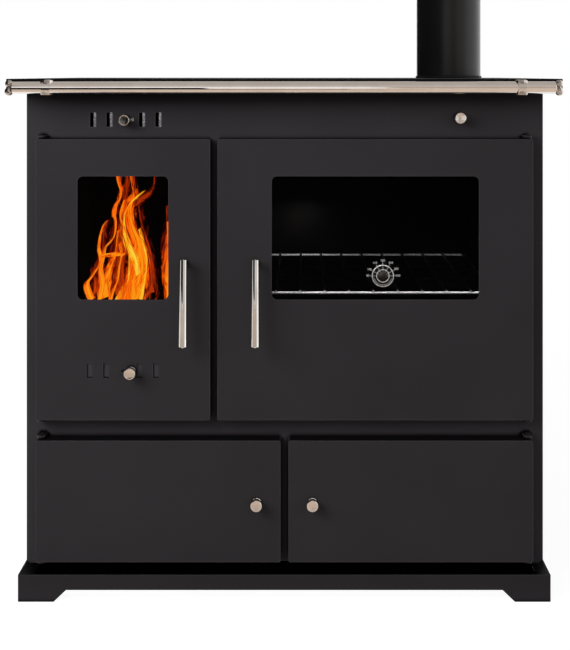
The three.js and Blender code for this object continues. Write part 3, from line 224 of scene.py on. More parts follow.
def worn_and_highlit_edges(tree, lightest):
    """1 on open surfaces, rising towards edges: rubbed wear, and a painted highlight where edges catch
    light.
    """
    rounded = tree.nodes.new("ShaderNodeBevel")
    rounded.samples = 4
    rounded.inputs["Radius"].default_value = WORN_LIT_WIDTH
    surface = tree.nodes.new("ShaderNodeNewGeometry")
    turn = tree.nodes.new("ShaderNodeVectorMath")
    turn.operation = "DOT_PRODUCT"
    tree.links.new(rounded.outputs["Normal"], turn.inputs[0])
    tree.links.new(surface.outputs["Normal"], turn.inputs[1])
    return mapped(tree, turn.outputs["Value"], FLAT_COSINE, EDGE_COSINE, 1.0, lightest)


def painted_gap_shade(tree, depth):
    """1 on open surfaces, falling in gaps and corners: painted shade."""
    closed = tree.nodes.new("ShaderNodeAmbientOcclusion")
    closed.samples = 16
    closed.inputs["Distance"].default_value = depth
    return mapped(tree, closed.outputs["AO"], CLOSED_SHARE, OPEN_SHARE, GAP_SHADE, 1.0)


def painted_top_shade(tree):
    """1 on upright surfaces, falling on level ones: painted shade on tops."""
    surface = tree.nodes.new("ShaderNodeNewGeometry")
    split = tree.nodes.new("ShaderNodeSeparateXYZ")
    tree.links.new(surface.outputs["Normal"], split.inputs["Vector"])
    return mapped(tree, split.outputs["Z"], STEEP_NORMAL, LEVEL_NORMAL, 1.0, TOP_SHADE)


def black_paint(name, dark, light, roughness, gloss=0.08, lightest=2.3, depth=SHADE_DEPTH):
    """Matte stove paint, lighter on its edges as rubbed wear and a painted highlight, and with painted
    shade in its gaps and on its tops.
    """
    made, tree, shader = new_material(name)
    shader.inputs["Specular IOR Level"].default_value = gloss
    cloud = noise(tree, 5.0, 4.0)
    grain = noise(tree, 900.0, 2.0)
    # Painted shade darkens gaps, corners and level tops; with the edges, rubbed and painted lighter, it
    # makes wear, which scales the colour.
    painted_shade = maths(tree, "MULTIPLY", painted_gap_shade(tree, depth), painted_top_shade(tree))
    wear = maths(tree, "MULTIPLY", worn_and_highlit_edges(tree, lightest), painted_shade)
    colour = scaled(tree, mottled(tree, cloud, dark, light), wear)
    tree.links.new(colour, shader.inputs["Base Color"])
    varied = spread(tree, grain, roughness - 0.04, roughness + 0.06)
    tree.links.new(varied, shader.inputs["Roughness"])
    bump(tree, shader, grain, 0.12, 0.0004)
    return made


def bright_steel(name, dark, light, roughness, stretch=(1.0, 1.0, 1.0)):
    """Polished or brushed steel, drawn along the axis with the small stretch."""
    made, tree, shader = new_material(name)
    shader.inputs["Metallic"].default_value = 1.0
    brushed = noise(tree, 400.0, 3.0, stretch=stretch)
    cloud = noise(tree, 30.0, 3.0)
    tree.links.new(mottled(tree, cloud, dark, light), shader.inputs["Base Color"])
    varied = spread(tree, brushed, roughness - 0.04, roughness + 0.05)
    tree.links.new(varied, shader.inputs["Roughness"])
    bump(tree, shader, brushed, 0.06, 0.0002)
    return made


def pale_nickel(name):
    """Nickel plate, dull and nearly white."""
    made, tree, shader = new_material(name)
    shader.inputs["Metallic"].default_value = 0.6
    speckle = noise(tree, 500.0, 3.0)
    tree.links.new(mottled(tree, speckle, grey(0.90), grey(1.0)), shader.inputs["Base Color"])
    tree.links.new(spread(tree, speckle, 0.22, 0.32), shader.inputs["Roughness"])
    bump(tree, shader, speckle, 0.05, 0.0001)
    return made


def rough_stone(name, dark, light):
    """Pressed firebrick, browned and sooted."""
    made, tree, shader = new_material(name)
    cloud = noise(tree, 14.0, 5.0)
    grain = noise(tree, 260.0, 4.0)
    tree.links.new(mottled(tree, cloud, dark, light), shader.inputs["Base Color"])
    shader.inputs["Roughness"].default_value = 0.9
    bump(tree, shader, grain, 0.5, 0.001)
    return made


def dark_glass(name):
    """Smoked ceramic glass."""
    made, tree, shader = new_material(name)
    smoke = noise(tree, 9.0, 3.0)
    colour = mottled(tree, smoke, (0.0010, 0.0010, 0.0011), (0.0022, 0.0021, 0.0022))
    tree.links.new(colour, shader.inputs["Base Color"])
    shader.inputs["Roughness"].default_value = 0.05
    shader.inputs["Specular IOR Level"].default_value = 0.04
    shader.inputs["Alpha"].default_value = 0.12
    return made


def printed_white(name):
    """White enamel print on glass, a little worn."""
    made, tree, shader = new_material(name)
    wear = noise(tree, 1500.0, 2.0)
    colours = [(0.35, grey(0.30)), (0.6, grey(0.75))]
    tree.links.new(ramp(tree, wear, colours), shader.inputs["Base Color"])
    shader.inputs["Roughness"].default_value = 0.5
    return made


def dial_black(name):
    """The black enamelled face of the thermometer."""
    made, tree, shader = new_material(name)
    cloud = noise(tree, 300.0, 2.0)
    tree.links.new(mottled(tree, cloud, grey(0.002), grey(0.005)), shader.inputs["Base Color"])
    shader.inputs["Roughness"].default_value = 0.4
    shader.inputs["Specular IOR Level"].default_value = 0.1
    return made


def rope_fibre(name):
    """Glass-fibre door rope."""
    made, tree, shader = new_material(name)
    fibres = noise(tree, 700.0, 3.0, stretch=(1.0, 1.0, 0.3))
    colour = mottled(tree, fibres, (0.05, 0.048, 0.045), (0.16, 0.155, 0.145))
    tree.links.new(colour, shader.inputs["Base Color"])
    shader.inputs["Roughness"].default_value = 0.95
    bump(tree, shader, fibres, 0.6, 0.0008)
    return made


# Per paint: its darker and its lighter colour, its roughness, and, where they differ from the usual,
# its gloss and how much lighter its edges are painted, as rubbed wear and a painted highlight.
PAINT = black_paint("matte_black_paint", (0.0285, 0.0255, 0.0290), (0.0335, 0.0300, 0.0340), 0.5)
# The front plate's black paint, made lighter than the same paint on the doors: painted light.
LIT_FRONT_PAINT = black_paint("lit_front_paint", (0.0350, 0.0314, 0.0357), (0.0412, 0.0370, 0.0418), 0.5)
# The plinth's black paint, made darker than the same paint on the doors: painted shade.
SHADED_PLINTH_PAINT = black_paint("shaded_plinth_paint", (0.0225, 0.0202, 0.0225), (0.0262, 0.0235, 0.0262), 0.5)
# The lower air slide's black paint, made lighter than the same paint on the doors: painted light where
# it lies in shade behind its slots.
LIT_SLIDE_PAINT = black_paint(
    "lit_slide_paint", (0.0480, 0.0430, 0.0490), (0.0560, 0.0500, 0.0570), 0.5, depth=SLOT_SHADE_DEPTH)
PIPE = black_paint("pipe_paint", (0.0025, 0.0024, 0.0026), (0.0040, 0.0038, 0.0042), 0.30, 0.28, 1.2)
ENAMEL = black_paint("hob_enamel", (0.0030, 0.0029, 0.0035), (0.0050, 0.0048, 0.0058), 0.4, 0.04, 1.5)
INNER = black_paint("inner_black", (0.0014, 0.0012, 0.0012), (0.0030, 0.0026, 0.0024), 0.7, 0.02, 1.2)
IRON = black_paint("cast_iron", (0.0075, 0.0070, 0.0072), (0.0150, 0.0142, 0.0142), 0.55, 0.2, 1.6)

# How noise is stretched along the direction in which a metal was polished.
DRAWN_UPWARD = (1.0, 1.0, 0.06)
DRAWN_ALONG_RAIL = (0.06, 1.0, 1.0)

# Per metal: its darker and its lighter colour, its roughness and, where it shows, how it was polished.
POLISHED = bright_steel(
    "polished_steel", (0.68, 0.645, 0.615), (0.78, 0.745, 0.715), 0.06, DRAWN_UPWARD)
# Darkened steel for the rack: painted shade, for the dark oven it stands in.
RACK_STEEL = bright_steel("rack_steel", (0.015, 0.014, 0.013), (0.030, 0.028, 0.026), 0.3)
FITTING = bright_steel("fitting_steel", (0.34, 0.31, 0.29), (0.62, 0.57, 0.53), 0.18)
RAIL_STEEL = bright_steel("rail_steel", (0.78, 0.73, 0.69), (0.86, 0.81, 0.77), 0.07, DRAWN_ALONG_RAIL)
FACE = bright_steel("turned_face", (0.62, 0.56, 0.51), (0.78, 0.72, 0.66), 0.22)
# A darkened copy of the knobs' steel: on the upper knob's face it is a painted dark reflection; the
# thermometer's pointer and hub use it too.
DARK_FACE = bright_steel("dark_face", (0.02, 0.02, 0.02), (0.20, 0.19, 0.18), 0.25)
NICKEL = pale_nickel("pale_nickel")
GALVANISED = bright_steel("galvanised_sheet", (0.55, 0.55, 0.60), (0.72, 0.72, 0.78), 0.25)

CHAMOTTE = rough_stone("firebrick", (0.004, 0.0025, 0.0018), (0.014, 0.009, 0.006))
GLASS = dark_glass("smoked_glass")
ROPE = rope_fibre("door_rope")
PRINT = printed_white("scale_print")
DIAL_BLACK = dial_black("dial_face")

SLOT_MATERIALS = {
    "paint": PAINT,
    "inner_sheet": INNER,
    "cast_iron": IRON,
    "polished": POLISHED,
    "galvanised": GALVANISED,
    "firebrick": CHAMOTTE,
    "door_glass": GLASS,
    "rope": ROPE,
}


def soften(obj, width):
    """Rounds a piece's edges so that they catch light, with its mesh unchanged."""
    weld = obj.modifiers.new("merge", "WELD")
    weld.merge_threshold = MERGE_DISTANCE
    round_over = obj.modifiers.new("round", "BEVEL")
    round_over.width = width
    round_over.segments = 2
    round_over.limit_method = "ANGLE"
    round_over.angle_limit = math.radians(SHARP_ANGLE)


# Nodes whose material isn't their slot's.
OWN_MATERIALS = {
    "hob_frame": ENAMEL,
    "front_plate": LIT_FRONT_PAINT,
    "plinth_front": SHADED_PLINTH_PAINT,
    "plinth_left": SHADED_PLINTH_PAINT,
    "plinth_right": SHADED_PLINTH_PAINT,
    "plinth_rear": SHADED_PLINTH_PAINT,
    "thermometer_pointer": DARK_FACE,
    "lower_air_slide": LIT_SLIDE_PAINT,
}

for entry in frame["record"]["subparts"]:
    node = frame["nodes"][entry["node"]]
    slot_material = SLOT_MATERIALS[entry["material_slot"]]
    node.data.materials[0] = OWN_MATERIALS.get(entry["node"], slot_material)
    soften(node, EDGE_ROUND)


# Pieces built here ----------------------------------------------------------------------------

def linked(name, data):
    """A new object in the scene, made from a mesh, a curve, a light or a camera."""
    obj = bpy.data.objects.new(name, data)
    bpy.context.scene.collection.objects.link(obj)
    return obj


def mesh_of(name, shape):
    """A new mesh from a bmesh, which is freed."""
    mesh = bpy.data.meshes.new(name)
    shape.to_mesh(mesh)
    shape.free()
    return mesh


def finish_mesh(obj, material, sharp_angle=SHARP_ANGLE):
    """Gives a new mesh object its material and smooth shading with sharp edges kept."""
    obj.data.materials.clear()
    obj.data.materials.append(material)
    for polygon in obj.data.polygons:
        polygon.use_smooth = True
    obj.data.set_sharp_from_angle(angle=math.radians(sharp_angle))
    return obj


def lathe(name, profile, material, centre, forward, segments=64, sharp_angle=SHARP_ANGLE):
    """Turns (radius, height) pairs, in millimetres, about an axis from a centre forward."""
    shape = bmesh.new()
    rings = []
    for radius, height in profile:
        if radius == 0:
            rings.append([shape.verts.new((0.0, 0.0, height / 1000))])
            continue
        turns = [2 * math.pi * i / segments for i in range(segments)]
        rings.append([
            shape.verts.new((radius * math.cos(t) / 1000, radius * math.sin(t) / 1000, height / 1000))
            for t in turns
        ])
    for low, high in zip(rings, rings[1:]):
        for i in range(segments):
            j = (i + 1) % segments
            corners = [low[i % len(low)], low[j % len(low)], high[j % len(high)], high[i % len(high)]]
            shape.faces.new(list(dict.fromkeys(corners)))
    bmesh.ops.recalc_face_normals(shape, faces=shape.faces)
    mesh = mesh_of(name, shape)
    mesh.transform(Vector(forward).to_track_quat("Z", "Y").to_matrix().to_4x4())
    mesh.transform(Matrix.Translation(centre))
    return finish_mesh(linked(name, mesh), material, sharp_angle)


def stand_for(obj, node_name):
    """Shows a new piece in the place of a CAD node, on the same body."""
    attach(obj, frame["nodes"][node_name]["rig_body"])
    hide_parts(node_name)


def smooth_copy(node_name, material, round_width=COPY_ROUND):
    """A CAD node's form with smooth shading and rounded edges, shown in its place."""
    name = node_name + "_smooth"
    shape = bmesh.new()
    shape.from_mesh(frame["nodes"][node_name].data)
    bmesh.ops.remove_doubles(shape, verts=shape.verts, dist=MERGE_DISTANCE)
    bmesh.ops.dissolve_limit(shape, angle_limit=math.radians(1), verts=shape.verts, edges=shape.edges)
    copy = finish_mesh(linked(name, mesh_of(name, shape)), material)
    soften(copy, round_width)
    stand_for(copy, node_name)
    return copy


def middle_of(node_name):
    """The middle of a CAD node's box."""
    low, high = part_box(node_name)
    return (low + high) / 2


# A knob's (radius, height) pairs, in millimetres.
KNOB_PROFILE = [
    (0.0, 0.0), (6.4, 0.0), (7.4, 0.3), (7.8, 1.0), (7.6, 1.8), (6.4, 2.4), (5.2, 3.2), (4.8, 4.6),
    (5.2, 6.2), (6.6, 7.8), (8.6, 9.0), (9.3, 9.9), (9.5, 10.8), (9.5, 17.6), (9.3, 18.3), (8.7, 18.8),
    (8.0, 19.0), (7.4, 18.9), (6.9, 18.6), (0.0, 18.6),
]
# Of a knob, in metres: where its head starts, and its face's least height and greatest radius.
HEAD_HEIGHT = 0.0078
FACE_HEIGHT = 0.0184
FACE_RADIUS = 0.0068
# In metres, how far back from its front bar and forward from its rear edge the rack gets a painted
# highlight.
FRONT_LIT_DEPTH = 0.012
REAR_LIT_DEPTH = 0.008


def make_knob(node_name, head, face, neck):
    """A turned knob: flange and neck, then a chamfered head whose face is slightly sunk."""
    low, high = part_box(node_name)
    back = Vector(((low.x + high.x) / 2, high.y, (low.z + high.z) / 2))
    knob = lathe(node_name + "_turned", KNOB_PROFILE, head, back, (0, -1, 0))
    knob.data.materials.append(face)
    knob.data.materials.append(neck)
    for polygon in knob.data.polygons:
        forward = back.y - polygon.center.y
        radius = math.hypot(polygon.center.x - back.x, polygon.center.z - back.z)
        if forward > FACE_HEIGHT and radius < FACE_RADIUS:
            polygon.material_index = 1
        elif forward < HEAD_HEIGHT:
            polygon.material_index = 2
    stand_for(knob, node_name)


def make_rack():
    """The oven rack, in darkened steel as painted shade, but for its front and rear bars in pale nickel
    as a painted highlight.
    """
    rack = smooth_copy("oven_rack", RACK_STEEL, WIRE_ROUND)
    rack.data.materials.append(NICKEL)
    front, rear = (corner.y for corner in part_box("oven_rack"))
    for polygon in rack.data.polygons:
        if polygon.center.y < front + FRONT_LIT_DEPTH or polygon.center.y > rear - REAR_LIT_DEPTH:
            polygon.material_index = 1


STEEL_KNOBS = (
    "lower_air_slide_knob", "damper_knob", "store_door_left_knob", "store_door_right_knob",
)
for knob_node in STEEL_KNOBS:
    make_knob(knob_node, POLISHED, FACE, POLISHED)
# On this knob the face is darkened steel, a painted dark reflection, and the flange and neck are black
# iron, painted shade.
make_knob("upper_air_slide_knob", FITTING, DARK_FACE, IRON)

for smooth_node in ("fire_door_handle", "oven_door_handle", "rail_bracket_left", "rail_bracket_right"):
    smooth_copy(smooth_node, POLISHED)
make_rack()
smooth_copy("flue_pipe", PIPE)
for cast_node in ("flue_collar", "hob_ring", "hob_lid"):
    smooth_copy(cast_node, IRON)


# Rail -----------------------------------------------------------------------------------------

# In metres: half the rail's length, and how far past its ends the middles of the finials stand.
RAIL_END = 0.4370
FINIAL_OUT = 0.006
# In millimetres
RAIL_RADIUS = 10.0
RAIL_CHAMFER = 0.6
LOWER_BALL = 6.9
UPPER_BALL = 6.0


def ball_arc(radius, centre, first, last, steps=8):
    """(radius, height) points along a ball's outline, between two angles up, in degrees."""
    angles = [math.radians(first + (last - first) * i / steps) for i in range(steps + 1)]
    return [(max(0.0, radius * math.cos(a)), centre + radius * math.sin(a)) for a in angles]


def make_finial(name, middle):
    """Two balls, the lower one larger, on an upright neck."""
    profile = [(0.0, -13.0)]
    profile += ball_arc(LOWER_BALL, -6.2, -75, 62)
    profile += ball_arc(UPPER_BALL, 6.4, -62, 75)
    profile += [(0.0, 12.8)]
    return lathe(name, profile, FITTING, middle, (0, 0, 1), segments=20)


def make_bead(name, middle):
    """A waisted barrel, through which the rail runs."""
    profile = [(0.0, -12.9), (6.0, -12.9), (9.6, -11.6), (11.2, -8.0), (11.0, -4.0), (10.3, 0.0)]
    profile += [(radius, -height) for radius, height in reversed(profile[:-1])]
    return lathe(name, profile, FITTING, middle, (0, 0, 1), segments=14, sharp_angle=12.0)


def make_rail():
    """The rail between two end finials, with a bead over the ring of each bracket."""
    length = 2 * RAIL_END * 1000
    face = RAIL_RADIUS - RAIL_CHAMFER
    profile = [
        (0.0, 0.0), (face, 0.0), (RAIL_RADIUS, RAIL_CHAMFER),
        (RAIL_RADIUS, length - RAIL_CHAMFER), (face, length), (0.0, length),
    ]
    axis = middle_of("towel_rail")
    start = Vector((-RAIL_END, axis.y, axis.z))
    rail = lathe("towel_rail_turned", profile, RAIL_STEEL, start, (1, 0, 0), segments=96)
    stand_for(rail, "towel_rail")
    for side, sign in (("left", -1), ("right", 1)):
        tip = Vector((sign * (RAIL_END + FINIAL_OUT), axis.y, axis.z))
        finial = make_finial("rail_finial_" + side, tip)
        stand_for(finial, "rail_cap_" + side)
        ring = middle_of("rail_bracket_" + side)
        bead = make_bead("rail_bead_" + side, Vector((ring.x, axis.y, axis.z)))
        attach(bead, "root")


make_rail()


# Thermometer ----------------------------------------------------------------------------------

# Where each number of the scale stands, in degrees from the dial's right.
SCALE_ANGLES = (
    (180, "50"), (155, "100"), (122, "150"), (90, "200"), (58, "250"), (27, "300"), (0, "350"),
)
# In millimetres from the dial's middle: where the lines on the dial, those on the glass and the small
# marks start and end, each with its width, and where the numbers stand.
DIAL_LINE = (7.0, 16.8, 0.6)
GLASS_LINE = (18.1, 21.4, 0.6)
SMALL_MARK = (14.2, 15.6, 0.8)
NUMBER_DISTANCE = 24.8
# The small marks: how many, and over which angles, in degrees.
SMALL_MARKS = 19
FIRST_MARK = 200
MARKS_TURN = 140
# In metres. Print stands just before the glass, and just before the dial, which is sunk in its case.
NUMBER_SIZE = 0.0050
NUMBER_THICKNESS = 0.00004
PRINT_THICKNESS = 0.0001
PRINT_AHEAD = 0.00012
DIAL_SUNK = 0.0023
DIAL = middle_of("thermometer_case")


def flat_shape(name, outline, y, thickness, material):
    """A thin plate with an outline of (x, z) pairs, that starts at y and runs back."""
    shape = bmesh.new()
    face = shape.faces.new([shape.verts.new((x, y, z)) for x, z in outline])
    if face.normal.dot(Vector((0, -1, 0))) < 0:
        face.normal_flip()
    grown = bmesh.ops.extrude_face_region(shape, geom=[face])
    moved = [v for v in grown["geom"] if isinstance(v, bmesh.types.BMVert)]
    bmesh.ops.translate(shape, verts=moved, vec=(0, thickness, 0))
    bmesh.ops.recalc_face_normals(shape, faces=shape.faces)
    obj = linked(name, mesh_of(name, shape))
    obj.data.materials.append(material)
    return obj


def joined(name, objects):
    """Joins mesh objects into one."""
    bpy.ops.object.select_all(action="DESELECT")
    for obj in objects:
        obj.select_set(True)
    bpy.context.view_layer.objects.active = objects[0]
    bpy.ops.object.join()
    objects[0].name = name
    return objects[0]


def scale_line(angle, line, y):
    """A radial line of the scale, from its start, its end and its width."""
    start, end, width = line
    turn = math.radians(angle)
    along = (math.cos(turn), math.sin(turn))
    across = (-along[1] * width / 2, along[0] * width / 2)
    outline = []
    for distance, side in ((start, 1), (end, 1), (end, -1), (start, -1)):
        outline.append((
            DIAL.x + (along[0] * distance + across[0] * side) / 1000,
            DIAL.z + (along[1] * distance + across[1] * side) / 1000,
        ))
    return flat_shape("line", outline, y, PRINT_THICKNESS, PRINT)


def scale_number(text, angle, y):
    """One number of the scale, as a mesh, printed on the glass."""
    curve = bpy.data.curves.new("number", "FONT")
    curve.body = text
    curve.size = NUMBER_SIZE
    curve.align_x = "CENTER"
    curve.align_y = "CENTER"
    curve.extrude = NUMBER_THICKNESS
    made = linked("number", curve)
    turn = math.radians(angle)
    made.location = (
        DIAL.x + NUMBER_DISTANCE * math.cos(turn) / 1000,
        y,
        DIAL.z + NUMBER_DISTANCE * math.sin(turn) / 1000,
    )
    made.rotation_euler = (math.radians(90), 0, 0)
    bpy.context.view_layer.update()
    evaluated = made.evaluated_get(bpy.context.evaluated_depsgraph_get())
    mesh = bpy.data.meshes.new_from_object(evaluated)
    mesh.transform(made.matrix_world)
    bpy.data.objects.remove(made)
    mesh.materials.clear()
    mesh.materials.append(PRINT)
    return linked("number", mesh)


def make_thermometer():
    """A bezel, a black dial, an inner ring and a hub, and the scale printed on dial and glass."""
    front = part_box("thermometer_case")[0].y
    place = Vector((DIAL.x, front, DIAL.z))
    bezel = lathe("thermometer_bezel", [
        (16.9, 3.4), (16.9, 1.0), (17.1, 0.4), (17.4, 0.1), (17.7, 0.2), (18.0, 0.8), (18.0, 3.4),
    ], NICKEL, place, (0, 1, 0))
    dial_profile = [(0.0, 2.5), (17.0, 2.5), (17.0, 3.2), (0.0, 3.2)]
    dial = lathe("thermometer_dial", dial_profile, DIAL_BLACK, place, (0, 1, 0))
    ring = lathe("thermometer_ring", [
        (9.7, 2.6), (9.7, 1.9), (10.0, 1.5), (10.5, 1.4), (10.8, 1.9), (10.8, 2.6),
    ], NICKEL, place, (0, 1, 0))
    hub = lathe("thermometer_hub", [
        (0.0, 2.6), (6.4, 2.6), (6.4, 2.2), (5.6, 1.9), (3.0, 1.8), (0.0, 1.8),
    ], DARK_FACE, place, (0, 1, 0))
    stand_for(bezel, "thermometer_case")
    for piece, slot in ((dial, "paint"), (ring, "polished"), (hub, "polished")):
        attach(piece, "oven_door")
    on_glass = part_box("oven_door_glass")[0].y - PRINT_AHEAD
    on_dial = front + DIAL_SUNK
    marks = []
    for angle, text in SCALE_ANGLES:
        marks.append(scale_line(angle, DIAL_LINE, on_dial))
        marks.append(scale_line(angle, GLASS_LINE, on_glass))
        marks.append(scale_number(text, angle, on_glass))
    for step in range(SMALL_MARKS):
        angle = FIRST_MARK + step * MARKS_TURN / (SMALL_MARKS - 1)
        marks.append(scale_line(angle, SMALL_MARK, on_dial))
    scale = joined("thermometer_scale", marks)
    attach(scale, "oven_door")


make_thermometer()


# Fire -----------------------------------------------------------------------------------------

# Each tongue: its kind, how far behind the casing's front, in metres, then (across, up, half width) in
# shares of the window as the camera sees it.
TONGUES = (
    ("veil", 0.12, ((0.20, -0.07, 0.02), (0.16, 0.0, 0.06), (0.20, 0.20, 0.09), (0.24, 0.38, 0.09),
                    (0.27, 0.52, 0.07), (0.30, 0.63, 0.02))),
    ("veil", 0.110, ((0.45, -0.07, 0.05), (0.42, 0.1, 0.14), (0.42, 0.35, 0.15), (0.44, 0.52, 0.13),
                    (0.47, 0.68, 0.11), (0.50, 0.80, 0.11), (0.53, 0.92, 0.09), (0.52, 1.06, 0.06))),
    ("veil", 0.100, ((0.60, 0.74, 0.03), (0.68, 0.80, 0.06), (0.77, 0.85, 0.05), (0.82, 0.92, 0.035),
                    (0.835, 0.99, 0.006))),
    ("veil", 0.090, ((0.95, 0.10, 0.03), (0.96, 0.42, 0.06), (0.965, 0.6, 0.045), (0.968, 0.75, 0.01))),
    ("veil", 0.110, ((0.75, -0.07, 0.03), (0.78, 0.0, 0.12), (0.78, 0.25, 0.10), (0.74, 0.45, 0.08),
                    (0.68, 0.62, 0.05), (0.66, 0.75, 0.01))),
    ("body", 0.075, ((0.27, -0.06, 0.10), (0.27, 0.08, 0.11), (0.31, 0.20, 0.08),
                    (0.375, 0.32, 0.055), (0.41, 0.44, 0.035), (0.425, 0.55, 0.01))),
    ("body", 0.065, ((0.62, -0.06, 0.15), (0.64, 0.12, 0.18), (0.67, 0.28, 0.155),
                    (0.64, 0.42, 0.12), (0.57, 0.56, 0.10), (0.54, 0.68, 0.11), (0.56, 0.76, 0.10),
                    (0.60, 0.84, 0.06), (0.585, 0.92, 0.035), (0.56, 1.04, 0.008))),
    ("body", 0.055, ((0.52, -0.06, 0.09), (0.56, 0.12, 0.08), (0.60, 0.26, 0.07),
                    (0.54, 0.42, 0.07), (0.48, 0.56, 0.06), (0.45, 0.68, 0.05), (0.50, 0.80, 0.02))),
    ("body", 0.085, ((0.37, 0.66, 0.008), (0.385, 0.74, 0.02), (0.43, 0.80, 0.032), (0.455, 0.88, 0.04),
                    (0.425, 0.96, 0.045), (0.41, 1.08, 0.05))),
    ("body", 0.075, ((0.975, -0.06, 0.03), (0.965, 0.10, 0.045), (0.96, 0.24, 0.055),
                    (0.965, 0.38, 0.05), (0.975, 0.5, 0.035), (0.975, 0.62, 0.008))),
    ("body", 0.045, ((0.44, -0.06, 0.06), (0.49, 0.05, 0.06), (0.54, 0.15, 0.04),
                    (0.555, 0.26, 0.02), (0.55, 0.36, 0.005))),
    ("core", 0.045, ((0.64, 0.18, 0.006), (0.61, 0.30, 0.03), (0.535, 0.42, 0.035), (0.49, 0.53, 0.035),
                    (0.475, 0.62, 0.03), (0.50, 0.70, 0.026), (0.56, 0.77, 0.024), (0.63, 0.82, 0.022),
                    (0.71, 0.87, 0.004))),
    ("core", 0.045, ((0.385, -0.06, 0.024), (0.45, 0.03, 0.026), (0.50, 0.085, 0.022),
                    (0.535, 0.16, 0.014), (0.55, 0.25, 0.010), (0.555, 0.34, 0.003))),
    ("strand", 0.060, ((0.14, -0.06, 0.014), (0.065, 0.085, 0.020), (0.12, 0.16, 0.017),
                      (0.20, 0.25, 0.014), (0.215, 0.32, 0.012), (0.20, 0.40, 0.010),
                      (0.22, 0.50, 0.011), (0.26, 0.59, 0.010), (0.31, 0.63, 0.003))),
    ("strand", 0.050, ((0.20, -0.06, 0.012), (0.24, 0.10, 0.014), (0.22, 0.22, 0.012),
                      (0.25, 0.32, 0.014), (0.27, 0.40, 0.017), (0.36, 0.48, 0.017),
                      (0.385, 0.60, 0.013), (0.37, 0.70, 0.013), (0.42, 0.77, 0.015),
                      (0.455, 0.86, 0.017), (0.42, 0.97, 0.018), (0.41, 1.08, 0.012))),
    ("strand", 0.040, ((0.215, 0.335, 0.008), (0.30, 0.34, 0.011), (0.40, 0.345, 0.011),
                      (0.50, 0.35, 0.004))),
    ("strand", 0.070, ((0.33, -0.07, 0.01), (0.34, 0.0, 0.014), (0.40, 0.12, 0.014),
                      (0.43, 0.25, 0.012), (0.46, 0.34, 0.010), (0.44, 0.44, 0.003))),
    ("core", 0.065, ((0.66, -0.07, 0.01), (0.68, 0.02, 0.03), (0.71, 0.15, 0.03), (0.735, 0.30, 0.02),
                    (0.70, 0.45, 0.010), (0.66, 0.56, 0.003))),
)

# Per kind: the colours from its cool edge to its hot middle, and how solid it looks.
FLAME_KINDS = {
    "veil": (((0.02, 0.0, 0.0), (0.10, 0.004, 0.001), (0.26, 0.014, 0.001), (0.60, 0.045, 0.002)),
             0.75),
    "body": (((0.22, 0.010, 0.001), (0.75, 0.055, 0.001), (1.0, 0.14, 0.002), (1.0, 0.30, 0.006)),
             1.0),
    "strand": (((0.45, 0.025, 0.001), (0.95, 0.10, 0.002), (1.0, 0.20, 0.004), (1.0, 0.34, 0.010)),
               1.0),
    "core": (((0.90, 0.10, 0.001), (1.0, 0.28, 0.004), (1.0, 0.48, 0.015), (1.0, 0.68, 0.05)),
             1.0),
}
HEAT_STOPS = (0.0, 0.3, 0.6, 0.9)
FLAME_STRENGTH = 1.25
# The window's corners, as x and z in metres.
WINDOW_LOW, WINDOW_HIGH = Vector((-0.34075, 0.4865)), Vector((-0.19125, 0.6895))
# A tongue's faces along it and across it, and how deep it curls, in metres.
TONGUE_STEPS = 60
TONGUE_STRIPS = 8
TONGUE_CURL = 0.02


def spline(points, t):
    """A point of the smooth curve through a list of points, for t from 0 to 1."""
    scaled = t * (len(points) - 1)
    i = min(int(scaled), len(points) - 2)
    local = scaled - i
    near = [points[max(0, min(len(points) - 1, i + k))] for k in (-1, 0, 1, 2)]
    result = []
    for a, b, c, d in zip(*near):
        result.append(0.5 * (2 * b + (c - a) * local + (2 * a - 5 * b + 4 * c - d) * local ** 2
                             + (3 * b - a - 3 * c + d) * local ** 3))
    return result


def make_tongue(index, depth, points, material):
    """A curled sheet of flame along a curve, broad below and drawn out above."""
    size = WINDOW_HIGH - WINDOW_LOW
    farther = (CAMERA_DISTANCE + depth) / CAMERA_DISTANCE
    vertices, uvs, faces = [], [], []
    for i in range(TONGUE_STEPS + 1):
        t = i / TONGUE_STEPS
        u, v, half = spline(points, t)
        ahead = spline(points, min(1.0, t + 0.02))
        behind = spline(points, max(0.0, t - 0.02))
        along = Vector(((ahead[0] - behind[0]) * size.x, (ahead[1] - behind[1]) * size.y)).normalized()
        side = Vector((along.y, -along.x))
        middle = Vector((WINDOW_LOW.x + u * size.x, WINDOW_LOW.y + v * size.y))
        for j in range(TONGUE_STRIPS + 1):
            share = 2 * j / TONGUE_STRIPS - 1
            seen = middle + side * share * half * size.x
            x = CAMERA_X + (seen.x - CAMERA_X) * farther
            z = CAMERA_HEIGHT + (seen.y - CAMERA_HEIGHT) * farther
            vertices.append((x, FRONT + depth + TONGUE_CURL * math.sin(3 * share + 5 * t), z))
            uvs.append(((share + 1) / 2, t))
    row = TONGUE_STRIPS + 1
    for i in range(TONGUE_STEPS):
        for j in range(TONGUE_STRIPS):
            first = i * row + j
            faces.append((first, first + 1, first + row + 1, first + row))
    mesh = bpy.data.meshes.new("flame")
    mesh.from_pydata(vertices, [], faces)
    layer = mesh.uv_layers.new(name="along")
    for loop in mesh.loops:
        layer.data[loop.index].uv = uvs[loop.vertex_index]
    mesh.materials.append(material)
    flame = linked(f"flame_{index}", mesh)
    flame.visible_shadow = False
    flame.visible_glossy = False


